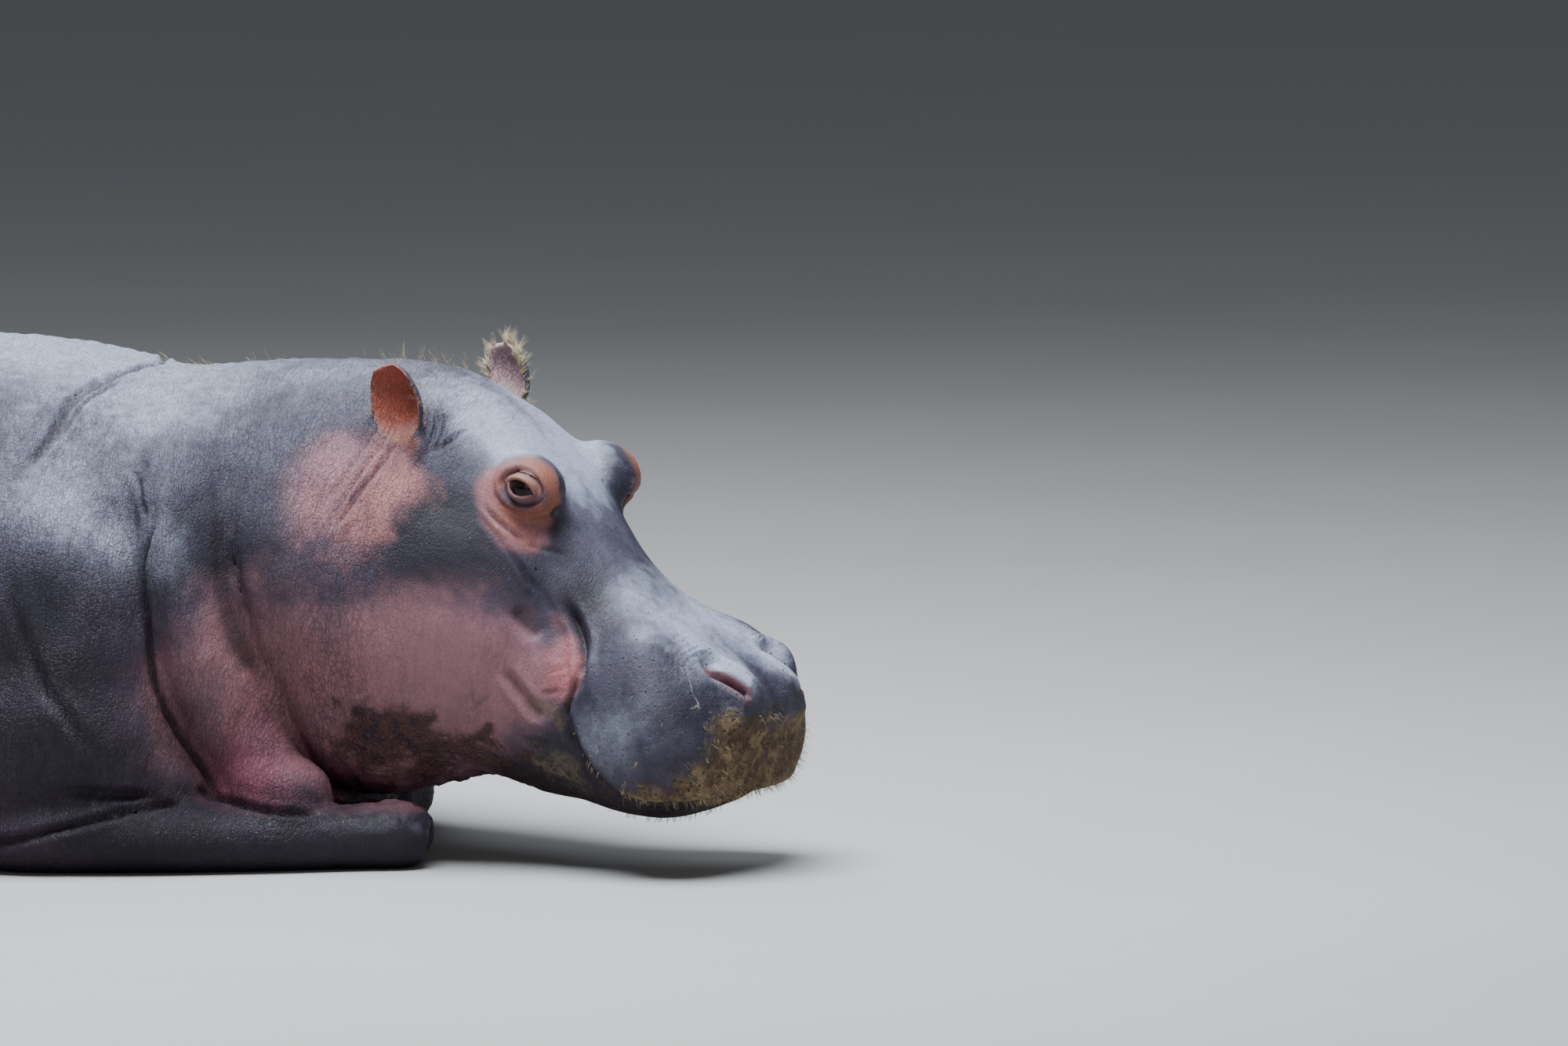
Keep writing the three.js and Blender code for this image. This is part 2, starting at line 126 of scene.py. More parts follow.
def hermite(places: Points, values: Points, at: Points) -> Points:
    """Values between stations, on a smooth curve through them all.

    Args:
        places: the stations' places, rising.
        values: one row of values for each station.
        at: where to read the curve.

    Returns:
        One row of values for each place in at.
    """
    places, values = np.asarray(places, float), np.asarray(values, float)
    if values.ndim == 1:
        values = values[:, None]
    at = np.atleast_1d(np.asarray(at, float))
    last = len(places) - 1
    before, after = np.clip(np.arange(last + 1) - 1, 0, last), np.clip(np.arange(last + 1) + 1, 0, last)
    slopes = (values[after] - values[before]) / (places[after] - places[before])[:, None]
    i = np.clip(np.searchsorted(places, at, side="right") - 1, 0, last - 1)
    span = (places[i + 1] - places[i])[:, None]
    t = np.clip((at[:, None] - places[i][:, None]) / span, 0, 1)
    return (
        (2 * t**3 - 3 * t**2 + 1) * values[i]
        + (t**3 - 2 * t**2 + t) * span * slopes[i]
        + (3 * t**2 - 2 * t**3) * values[i + 1]
        + (t**3 - t**2) * span * slopes[i + 1]
    )


def centripetal(points: Points, at: Points) -> Points:
    """Places on a centripetal spline through points, which runs from 0 at the first to 1 at the last.

    Args:
        points: the spline's corners.
        at: where to read it, from 0 to 1.

    Returns:
        One place for each number in at.
    """
    p = np.vstack([2 * points[0] - points[1], points, 2 * points[-1] - points[-2]])
    where = np.clip(np.asarray(at, float), 0, 1) * (len(points) - 1)
    i = np.minimum(where.astype(int), len(points) - 2)
    t = (where - i)[:, None]
    p0, p1, p2, p3 = p[i], p[i + 1], p[i + 2], p[i + 3]
    d0, d1, d2 = (
        np.maximum(np.linalg.norm(b - a, axis=1, keepdims=True), 1e-9) ** 0.5
        for a, b in ((p0, p1), (p1, p2), (p2, p3))
    )
    m1 = ((p1 - p0) / d0 - (p2 - p0) / (d0 + d1) + (p2 - p1) / d1) * d1
    m2 = ((p2 - p1) / d1 - (p3 - p1) / (d1 + d2) + (p3 - p2) / d2) * d1
    return (
        p1 + m1 * t + (-3 * p1 + 3 * p2 - 2 * m1 - m2) * t**2 + (2 * p1 - 2 * p2 + m1 + m2) * t**3
    )


def noise(points: Points, scale: float, seed: int = 0) -> Points:
    """Smooth noise from -1 to 1 made of a few turned waves, with features about scale across.

    Args:
        points: where to read it.
        scale: the size of its features.
        seed: which noise it is.

    Returns:
        One number for each place.
    """
    rng = np.random.default_rng(seed)
    total = np.zeros(len(points))
    for _ in range(9):
        way = unit(rng.normal(size=3)) * (2 * math.pi / scale) * rng.uniform(0.55, 1.5)
        turned = unit(np.cross(way, rng.normal(size=3))) / scale * 4.2
        bent = points @ way + rng.uniform(0, 6.28) + 0.9 * np.sin(points @ turned + rng.uniform(0, 6.28))
        total += np.sin(bent)
    return np.clip(total / 4.2, -1.4, 1.4)


def away_from_line(points: Points, line: Points) -> tuple[Points, Points]:
    """Distance from points to a polyline, and how far along it the nearest place is.

    Args:
        points: places to measure from.
        line: the polyline's corners.

    Returns:
        The distances, and the shares of the line's length, from 0 to 1.
    """
    starts, ends = line[:-1], line[1:]
    spans = ends - starts
    lengths = np.linalg.norm(spans, axis=1)
    reach = np.concatenate([[0], np.cumsum(lengths)])
    best = np.full(len(points), np.inf)
    share = np.zeros(len(points))
    for start, span, length, gone in zip(starts, spans, lengths, reach):
        t = np.clip(((points - start) @ span) / max(length**2, 1e-12), 0, 1)
        far = np.linalg.norm(points - start - t[:, None] * span, axis=1)
        nearer = far < best
        best = np.where(nearer, far, best)
        share = np.where(nearer, (gone + t * length) / reach[-1], share)
    return best, share


@dataclass(frozen=True)
class HeadFrame:
    """The head's own frame: x to the muzzle, y to the animal's left, z to its crown."""

    origin: Triple = (1.130, -0.055, 0.562)
    turn: float = -15.0
    pitch: float = 33.0

    @property
    def axes(self) -> Points:
        """The frame's three directions, as columns."""
        return about(2, self.turn) @ about(1, self.pitch)

    def place(self, points: Points) -> Points:
        """Places in the head's frame, put in the model."""
        return np.asarray(points, float) @ self.axes.T + np.array(self.origin)

    def aim(self, vectors: Points) -> Points:
        """Directions in the head's frame, put in the model."""
        return np.asarray(vectors, float) @ self.axes.T

    def read(self, points: Points) -> Points:
        """Places in the model, read in the head's frame."""
        return (np.asarray(points, float) - np.array(self.origin)) @ self.axes

    def read_aim(self, vectors: Points) -> Points:
        """Directions in the model, read in the head's frame."""
        return np.asarray(vectors, float) @ self.axes


HEAD = HeadFrame()


# ---------- working with meshes


def deselect_all() -> None:
    """Leaves edit mode and deselects every object."""
    if bpy.context.object and bpy.context.object.mode != "OBJECT":
        bpy.ops.object.mode_set(mode="OBJECT")
    for one in bpy.context.selected_objects:
        one.select_set(False)


def pick(piece: bpy.types.Object) -> bpy.types.Object:
    """Makes a piece the only one selected, and the active one."""
    deselect_all()
    piece.select_set(True)
    bpy.context.view_layer.objects.active = piece
    return piece


def added(name: str, data: Any) -> bpy.types.Object:
    """A new object in the scene."""
    made = bpy.data.objects.new(name, data)
    bpy.context.scene.collection.objects.link(made)
    return made


def piece_of(name: str, vertices: Points, faces: Sequence[Sequence[int]]) -> bpy.types.Object:
    """A mesh object from corners and faces."""
    mesh = bpy.data.meshes.new(name)
    mesh.from_pydata(np.asarray(vertices, float).tolist(), [], [list(map(int, f)) for f in faces])
    mesh.update()
    return added(name, mesh)


def edit(piece: bpy.types.Object, operator: Callable[..., Any], chosen: Optional[np.ndarray] = None,
         select: str = "VERT", **settings: Any) -> None:
    """Runs one operator of edit mode on a piece.

    Args:
        piece: the mesh object.
        operator: what to run.
        chosen: which corners it acts on, if not all.
        select: what is selected while it runs.
        settings: the operator's settings.
    """
    pick(piece)
    bpy.ops.object.mode_set(mode="EDIT")
    bpy.ops.mesh.select_mode(type="VERT")
    bpy.ops.mesh.select_all(action="SELECT" if chosen is None else "DESELECT")
    if chosen is not None:
        bpy.ops.object.mode_set(mode="OBJECT")
        piece.data.vertices.foreach_set("select", chosen)
        bpy.ops.object.mode_set(mode="EDIT")
        bpy.ops.mesh.select_mode(type=select)
    operator(**settings)
    bpy.ops.object.mode_set(mode="OBJECT")


def dress(piece: bpy.types.Object, material: bpy.types.Material) -> None:
    """Shades a piece smooth and gives it its one material."""
    piece.data.polygons.foreach_set("use_smooth", [True] * len(piece.data.polygons))
    piece.data.materials.clear()
    piece.data.materials.append(material)


def apply_modifier(piece: bpy.types.Object, kind: str, **settings: Any) -> None:
    """Adds one modifier to a piece and applies it."""
    pick(piece)
    modifier = piece.modifiers.new(kind.title(), kind)
    for key, value in settings.items():
        setattr(modifier, key, value)
    bpy.ops.object.modifier_apply(modifier=modifier.name)


def rows_of(items: Any, name: str, width: int, kind: type = np.float32) -> np.ndarray:
    """One property of a mesh's corners, edges or the like, as rows."""
    out = np.empty(len(items) * width, kind)
    items.foreach_get(name, out)
    return out.reshape(-1, width)


def corners_of(piece: bpy.types.Object) -> Points:
    """A piece's vertices."""
    return rows_of(piece.data.vertices, "co", 3).astype(float)


def normals_of(piece: bpy.types.Object) -> Points:
    """A piece's vertex normals."""
    return rows_of(piece.data.vertex_normals, "vector", 3).astype(float)


def edges_of(piece: bpy.types.Object) -> np.ndarray:
    """A piece's edges, as pairs of vertices."""
    return rows_of(piece.data.edges, "vertices", 2, np.int32)


def set_corners(piece: bpy.types.Object, points: Points) -> None:
    """Moves a piece's vertices."""
    piece.data.vertices.foreach_set("co", np.asarray(points, np.float32).ravel())
    piece.data.update()


def write_attribute(piece: bpy.types.Object, name: str, values: Points) -> None:
    """Stores three numbers at each corner of a piece."""
    layer = piece.data.attributes.new(name, "FLOAT_VECTOR", "POINT")
    layer.data.foreach_set("vector", np.asarray(values, np.float32).ravel())


def relax(points: Points, edges: np.ndarray, share: Points | float, rounds: int) -> Points:
    """Moves each point towards the middle of its neighbours, again and again.

    Args:
        points: places to smooth.
        edges: pairs of neighbours.
        share: how far each point goes each time, from 0 to 1.
        rounds: how many times.

    Returns:
        The smoothed places.
    """
    count = len(points)
    a, b = edges[:, 0], edges[:, 1]
    ties = np.maximum(np.bincount(a, minlength=count) + np.bincount(b, minlength=count), 1)
    share = np.broadcast_to(share, (count,))[:, None]
    for _ in range(rounds):
        middle = np.column_stack([
            np.bincount(a, weights=points[b, k], minlength=count)
            + np.bincount(b, weights=points[a, k], minlength=count)
            for k in range(3)
        ]) / ties[:, None]
        points = points + (middle - points) * share
    return points


def lofted(rings: Points) -> tuple[Points, list[list[int]]]:
    """A closed skin over rings of points, with a fan at each end.

    Args:
        rings: an array of rings, of the same number of points each.

    Returns:
        Corners and faces.
    """
    rows, sides = rings.shape[:2]
    corners = np.vstack([rings.reshape(-1, 3), rings[0].mean(0), rings[-1].mean(0)])
    faces = [
        [row * sides + i, row * sides + (i + 1) % sides, (row + 1) * sides + (i + 1) % sides, (row + 1) * sides + i]
        for row in range(rows - 1) for i in range(sides)
    ]
    first, last = rows * sides, rows * sides + 1
    for i in range(sides):
        j = (i + 1) % sides
        faces.append([first, j, i])
        faces.append([last, (rows - 1) * sides + i, (rows - 1) * sides + j])
    return corners, faces


# ---------- the body's sections, as in the solids


@dataclass(frozen=True)
class Swelling:
    """A soft rise on both sides of the body: its place, how far it pushes out and up, and its reach, in mm."""

    at: Triple
    out: float
    up: float
    reach: float


@dataclass(frozen=True)
class BodyLine:
    """Sections along one part of the body, in millimetres.

    Each row of stations is: place, top, mid, bottom, wide, crown, keel, lean. A section is a superellipse,
    widest at mid, and leans about the pivot height. Swellings reach their full push this far, middle, from the
    plane between right and left.
    """

    stations: tuple[tuple[float, ...], ...]
    swellings: tuple[Swelling, ...]
    pivot: float
    middle: float = 30.0
    sides: int = 112

    @property
    def ends(self) -> tuple[float, float]:
        """The places of the first and the last section."""
        return self.stations[0][0], self.stations[-1][0]

    def ring(self, at: float) -> Points:
        """One section's points in millimetres, first on top, then down the animal's right side."""
        table = np.array(self.stations)
        top, mid, bottom, wide, crown, keel, lean = hermite(table[:, 0], table[:, 1:], at)[0]
        turn = np.arange(self.sides) / self.sides * 2 * np.pi
        side, rise = np.sin(turn), np.cos(turn)
        power = 2 / np.where(rise > 0, crown, keel)
        height = np.where(rise > 0, top - mid, mid - bottom)
        z = mid + np.sign(rise) * np.abs(rise) ** power * height
        y = -np.sign(side) * np.abs(side) ** power * wide
        points = np.column_stack([at - lean * (z - self.pivot), y, z])
        for swelling in self.swellings:
            sign = np.where(points[:, 1] < 0, -1.0, 1.0)
            near = bell(np.linalg.norm(folded(points) - swelling.at, axis=1), swelling.reach)
            share = np.minimum(1, np.abs(points[:, 1]) / self.middle)
            points[:, 1] += swelling.out * sign * share * near
            points[:, 2] += swelling.up * near
        points[:, 0] = at - lean * (points[:, 2] - self.pivot)
        return points


TRUNK = BodyLine(
    stations=(
        (-1045, 478, 410, 335, 62, 2, 2, 0),
        (-1025, 544, 384, 205, 180, 1.95, 2.1, 0),
        (-965, 622, 356, 84, 306, 1.9, 2.2, 0),
        (-860, 689, 340, 8, 392, 1.9, 2.4, 0),
        (-680, 743, 335, -24, 456, 1.95, 2.5, 0),
        (-350, 774, 336, -45, 506, 2.05, 2.6, 0),
        (0, 773, 330, -48, 520, 2.1, 2.7, 0),
        (300, 760, 334, -40, 508, 2.1, 2.6, 0.02),
        (540, 741, 342, -12, 474, 2.15, 2.4, 0.1),
        (700, 727, 350, 30, 440, 2.2, 2.3, 0.16),
        (838, 699, 352, 54, 398, 2.2, 2.2, 0.19),
    ),
    swellings=(
        Swelling((640, 440, 400), 30, 0, 170),
        Swelling((-640, 440, 380), 34, 10, 250),
        Swelling((0, 520, 200), 26, 0, 330),
    ),
    pivot=360,
)

SKULL = BodyLine(
    stations=(
        (-190, 35, -140, -414, 280, 2.2, 2.2, 1),
        (-125, 66, -138, -412, 290, 2.1, 2.2, 0.87),
        (-50, 104, -130, -402, 288, 2, 2.2, 0.74),
        (20, 143, -120, -386, 280, 1.95, 2.2, 0.62),
        (95, 176, -108, -370, 270, 1.95, 2.2, 0.5),
        (170, 185, -96, -352, 258, 2, 2.3, 0.35),
        (240, 168, -84, -332, 240, 2.05, 2.3, 0.21),
        (305, 145, -74, -304, 216, 1.95, 2.3, 0.12),
        (370, 122, -64, -267, 190, 1.85, 2.4, 0.08),
        (440, 107, -56, -246, 178, 2, 2.5, 0.06),
        (510, 99, -50, -220, 188, 2.5, 2.5, 0.08),
        (580, 93, -46, -190, 206, 2.9, 2.5, 0.12),
        (640, 78, -42, -154, 206, 2.8, 2.4, 0.16),
        (685, 50, -40, -116, 178, 2.5, 2.2, 0.18),
        (708, 12, -38, -80, 126, 2.2, 2, 0.18),
        (716, -10, -36, -60, 70, 2, 2, 0.18),
    ),
    swellings=(
        Swelling((215, 115, 160), 4, 16, 62),
        Swelling((612, 84, 80), 4, 18, 42),
        Swelling((520, 150, 60), 8, 14, 46),
        Swelling((30, 262, -160), 22, 0, 120),
        Swelling((395, 172, 10), -16, 0, 60),
        Swelling((225, 150, -360), 16, -6, 80),
    ),
    pivot=0,
)


@dataclass(frozen=True)
class NeckRoll:
    """One roll or crease of the neck: its place at nape and throat, how far it stands out, and its reach."""

    nape: float
    throat: float
    rise: float
    reach: float


@dataclass(frozen=True)
class Joint:
    """A place along a limb with its half-width and half-height, in millimetres."""

    at: Triple
    half: tuple[float, float]


@dataclass(frozen=True)
class Form:
    """One closed form of the flesh, ready to be joined with the rest."""

    corners: Points
    faces: list[list[int]]


def limb_form(joints: Sequence[Joint], rows: int, level: Triple = (0, 1, 0), sides: int = 40) -> Form:
    """A limb along a smooth line through joints, in millimetres.

    Args:
        joints: places with half-width and half-height.
        rows: steps along the limb.
        level: the direction that its width runs in at the start.
        sides: points round the limb.

    Returns:
        The limb, cut off at the floor.
    """
    at = np.linspace(0, 1, rows + 1)
    line = np.array([j.at for j in joints], float)
    half = hermite(np.linspace(0, 1, len(joints)), np.array([j.half for j in joints], float), at)
    centres = centripetal(line, at)
    ways = unit(centripetal(line, at + 1e-3) - centripetal(line, at - 1e-3))
    across = np.array(level, float)
    turn = np.arange(sides) / sides * 2 * np.pi
    rings = []
    for centre, way, (wide, tall) in zip(centres, ways, half):
        across = unit(across - way * (across @ way))
        over = np.cross(way, across)
        rings.append(centre - np.sin(turn)[:, None] * across * wide + np.cos(turn)[:, None] * over * tall)
    stack = np.array(rings)
    stack[..., 2] = np.maximum(stack[..., 2], 0)
    return Form(*lofted(stack))


def ball_form(centre: Triple, halves: Triple, turns: Triple, side: Side, in_head: bool = False) -> Form:
    """A ball stretched to three half-lengths, turned and set on one side, in millimetres.

    Args:
        centre: its middle, given for the left side.
        halves: its half-lengths.
        turns: degrees about x, y and z.
        side: the side it is set on.
        in_head: whether it is given in the head's frame.

    Returns:
        The ball.
    """
    rows, sides = 24, 40
    tilt = np.linspace(0.02, np.pi - 0.02, rows)
    turn = np.arange(sides) / sides * 2 * np.pi
    ring = np.stack([
        np.sin(tilt)[:, None] * np.cos(turn), np.sin(tilt)[:, None] * np.sin(turn),
        np.repeat(np.cos(tilt)[:, None], sides, 1),
    ], -1) * halves
    turned = about(2, turns[2] * side.value) @ about(1, turns[1]) @ about(0, turns[0] * side.value)
    placed = ring @ turned.T + np.array([centre[0], centre[1] * side.value, centre[2]])
    if in_head:
        placed = HEAD.place(placed * MM) / MM
    corners, faces = lofted(placed)
    return Form(corners, [face[::-1] for face in faces])


@dataclass(frozen=True)
class Ear:
    """An ear: a leaf on a short stalk, hollow on the side that it faces, in the head's millimetres.

    Each ear turns by itself: the right one opens outwards and back, the left one back across the head.
    """

    root: Triple = (66, 168, 100)
    tip: Triple = (-36, 176, 176)
    faces: Triple = (-0.3, 1, 0.1)
    width: float = 41
    thickness: float = 15
    cup: float = 31
    stalk: float = 32
    middle: float = 0.56

    def axes(self, side: Side) -> tuple[Points, Points, Points, Points, float]:
        """Root, rise, facing and across directions in the head's frame, and the ear's length."""
        flip = np.array([1, side.value, 1])
        root = np.array(self.root) * flip
        rise = np.array(self.tip) * flip - root
        length = float(np.linalg.norm(rise))
        rise = rise / length
        facing = np.array(self.faces) * flip
        facing = unit(facing - rise * (facing @ rise))
        return root, rise, facing, np.cross(rise, facing), length

    def read(self, side: Side, head: Points) -> tuple[Points, Points, Points, Points]:
        """Places in the head's frame, read along, across and out of the ear.

        Args:
            side: which ear.
            head: the places.

        Returns:
            Shares of the length, shares of the half-width, millimetres outwards, and the place in the leaf's outline,
            which is 0 in its middle and 1 on its rim.
        """
        root, rise, facing, across, length = self.axes(side)
        local = head / MM - root
        a, b = local @ rise / length, local @ across / self.width
        return a, b, local @ facing, np.sqrt(((a - self.middle) / 0.50) ** 2 + b**2)

    def form(self, side: Side) -> Form:
        """The ear's closed form."""
        root, rise, facing, across, length = self.axes(side)
        rings = []
        shares = np.sin(np.linspace(-1, 1, 23) * np.pi / 2)
        for t in [-0.3, -0.15, 0, 0.08, 0.16, 0.25, 0.34, 0.44, 0.55, 0.65, 0.75, 0.83, 0.9, 0.945, 0.975, 0.99, 1]:
            leaf = math.sqrt(max(0.0, 1 - (abs(t - self.middle) / 0.46) ** 2.4))
            taper = float(smooth(t, 0, 1))
            broad = max(25 + (7 - 25) * taper, self.width * leaf)
            hollow = self.cup * float(smooth(t, 0.08, 0.4)) * (1 - 0.7 * float(smooth(t, 0.7, 1)))
            thick = (self.stalk + (self.thickness - self.stalk) * float(smooth(t, -0.1, 0.35))) / 2
            ring = []
            for face, row in ((1, shares), (-1, shares[::-1])):
                deep = hollow * (np.abs(row) ** 2.6 - 1) + face * thick * np.sqrt(1 - 0.5 * row**4) + 8
                ring.append(root + deep[:, None] * facing + (row * broad)[:, None] * across + rise * length * t)
            rings.append(np.vstack(ring))
        corners, faces = lofted(HEAD.place(np.array(rings) * MM) / MM)
        return Form(corners, faces)


EARS = {
    Side.RIGHT: Ear(),
    Side.LEFT: Ear(root=(52, 166, 104), tip=(-34, 172, 188), faces=(-0.6, -0.8, 0.15), width=36),
}


@dataclass(frozen=True)
class Toes:
    """The toes of one foot, which fan out from its end, in millimetres."""

    count: int = 4
    length: float = 66
    pitch: float = 44
    spread: float = 12

    def forms(self, foot: Sequence[Joint]) -> list[Form]:
        """One form for each toe of a foot."""
        end, before = np.array(foot[-1].at, float), np.array(foot[-2].at, float)
        heading = unit((end - before) * (1, 1, 0))
        across = np.array([-heading[1], heading[0], 0])
        made = []
        for i in range(self.count):
            share = i - (self.count - 1) / 2
            reach = self.length * (1 - 0.09 * share**2)
            turn = math.radians(self.spread) * share
            way = np.array([
                heading[0] * math.cos(turn) - heading[1] * math.sin(turn),
                heading[0] * math.sin(turn) + heading[1] * math.cos(turn), 0,
            ])
            root = end + across * share * self.pitch
            joints = [
                Joint((*(root + way * reach * along)[:2], height), (wide, tall))
                for along, height, wide, tall in ((-0.8, 48, 20, 26), (0.12, 40, 26, 36), (0.64, 32, 25, 30))
            ]
            made.append(limb_form(joints, 8, (-way[1], way[0], 0), 24))
        return made


@dataclass(frozen=True)
class Leg:
    """One kind of leg, for the animal's left side: its swelling out of the trunk, its lower run and its foot."""

    haunch: tuple[Triple, Triple, Triple]
    lower: tuple[Joint, ...]
    foot: tuple[Joint, ...]
    toes: Toes = Toes()

    def forms(self, side: Side, shift: float = 0) -> list[Form]:
        """The leg's forms on one side, moved along by shift."""
        (x, y, z), halves, turns = self.haunch
        lower, foot = (
            [Joint((j.at[0] + shift, j.at[1] * side.value, j.at[2]), j.half) for j in run]
            for run in (self.lower, self.foot)
        )
        return [
            ball_form((x + shift / 2, y, z), halves, turns, side),
            limb_form(lower, 36),
            limb_form(foot, 20),
            *self.toes.forms(foot),
        ]


FORELEG = Leg(
    haunch=((700, 378, 268), (124, 98, 236), (4, 17, 0)),
    lower=(
        Joint((580, 422, 56), (40, 44)), Joint((650, 424, 58), (72, 60)), Joint((790, 402, 54), (74, 56)),
        Joint((960, 350, 47), (66, 50)), Joint((1110, 292, 44), (58, 46)), Joint((1182, 268, 44), (54, 46)),
        Joint((1212, 258, 42), (34, 34)),
    ),
    foot=(
        Joint((1185, 240, 40), (40, 40)), Joint((1130, 196, 38), (54, 40)), Joint((1050, 168, 38), (62, 40)),
        Joint((985, 156, 36), (66, 36)),
    ),
)
HINDLEG = Leg(
    haunch=((-640, 396, 285), (255, 140, 200), (6, 26, -6)),
    lower=(
        Joint((-405, 440, 164), (58, 68)), Joint((-540, 448, 136), (70, 84)), Joint((-690, 456, 100), (62, 82)),
        Joint((-810, 455, 76), (50, 68)), Joint((-856, 454, 70), (30, 40)),
    ),
    foot=(
        Joint((-830, 468, 52), (44, 50)), Joint((-740, 502, 50), (56, 50)), Joint((-630, 540, 46), (66, 46)),
        Joint((-560, 560, 42), (72, 40)),
    ),
)
FORELEG_SHIFT = {Side.LEFT: -128.0, Side.RIGHT: 0.0}


@dataclass
class Flesh:
    """Every form of flesh, before they are joined, in millimetres.

    Attributes:
        rolls: the rolls and creases of the neck.
        brow: the middle and half-lengths of the left brow, in the head's frame.
        chest: middle, half-lengths and turns of each ball of flesh round the left of the chest.
        tail: places along the tail.
    """

    rolls: tuple[NeckRoll, ...] = (
        NeckRoll(-0.05, 0.02, -16, 0.16), NeckRoll(0.4, 0.56, 72, 0.34), NeckRoll(1, 1, -20, 0.14),
    )
    brow: tuple[Triple, Triple] = ((232, 109, 138), (58, 50, 54))
    chest: tuple[tuple[Triple, Triple, Triple], ...] = (
        ((752, 300, 152), (140, 166, 104), (0, 0, 0)),  # breast
        ((632, 376, 192), (220, 126, 156), (0, 0, 0)),  # elbow
        ((936, 272, 168), (74, 78, 152), (0, -34, 0)),  # roll of the neck
        ((992, 290, 118), (88, 76, 52), (0, 10, 0)),    # its end, on the forearm
        ((806, 345, 136), (100, 84, 46), (0, 6, 0)),    # lobe behind it
        ((880, 296, 112), (80, 62, 56), (0, 0, 0)),     # armpit
    )
    tail: tuple[Joint, ...] = (
        Joint((-985, 0, 545), (46, 40)), Joint((-1048, 0, 500), (38, 34)), Joint((-1074, 0, 410), (28, 24)),
        Joint((-1082, 0, 310), (22, 17)), Joint((-1086, 0, 220), (16, 11)), Joint((-1087, 0, 190), (8, 6)),
    )

    def trunk(self) -> Form:
        """The trunk, with its rear well rounded."""
        start, end = TRUNK.ends
        places = np.concatenate([start + 60 * np.linspace(0, 1, 9) ** 1.6, np.linspace(start + 75, end, 74)])
        rings = np.array([TRUNK.ring(at) for at in places])
        rings[..., 2] = np.maximum(rings[..., 2], 0)
        return Form(*lofted(rings))

    def head(self) -> Form:
        """The head with both lips closed, as one form."""
        start, end = SKULL.ends
        places = np.concatenate([np.linspace(start, end - 36, 90), end - 36 * np.linspace(1, 0, 12)[1:] ** 1.6])
        return Form(*lofted(HEAD.place(np.array([SKULL.ring(at) for at in places]) * MM) / MM))

    def neck(self) -> Form:
        """The neck, from the trunk's last section to the head's first, in rolls."""
        first, last = TRUNK.ring(TRUNK.ends[1]), HEAD.place(SKULL.ring(SKULL.ends[0]) * MM) / MM
        square, at_head = unit(np.array([1, 0, TRUNK.stations[-1][-1]])), HEAD.aim(unit(np.array([1, 0, 1])))
        low = (1 - np.cos(np.arange(TRUNK.sides) / TRUNK.sides * 2 * np.pi)) / 2
        rings = []
        for t in np.linspace(0, 1, 31):
            normal = unit(square * (1 - t) + at_head * t)
            centre = first.mean(0) * (1 - t) + last.mean(0) * t
            points = first * (1 - t) + last * t
            out = points - centre
            out = unit(out - (out @ normal)[:, None] * normal)
            fold = sum(r.rise * bell(t - (r.nape + (r.throat - r.nape) * low), r.reach) for r in self.rolls)
            held = float(smooth(t, 0, 0.12) * (1 - smooth(t, 0.9, 1)))
            edge = 8.0 * (2 * t - 1)
            points = points + out * (fold * held * smooth(low, 0.06, 0.4))[:, None] + normal * edge
            points[:, 2] = np.maximum(points[:, 2], 0)
            rings.append(points)
        return Form(*lofted(np.array(rings)))

    def all_forms(self) -> list[Form]:
        """Every form, in millimetres."""
        made = [self.trunk(), self.neck(), self.head(), limb_form(self.tail, 24, sides=24)]
        for side in Side:
            made += [ball_form(self.brow[0], self.brow[1], (0, 0, 0), side, in_head=True), EARS[side].form(side)]
            made += FORELEG.forms(side, FORELEG_SHIFT[side]) + HINDLEG.forms(side)
            made += [ball_form(*ball, side) for ball in self.chest]
        return made


# ---------- carving the skin


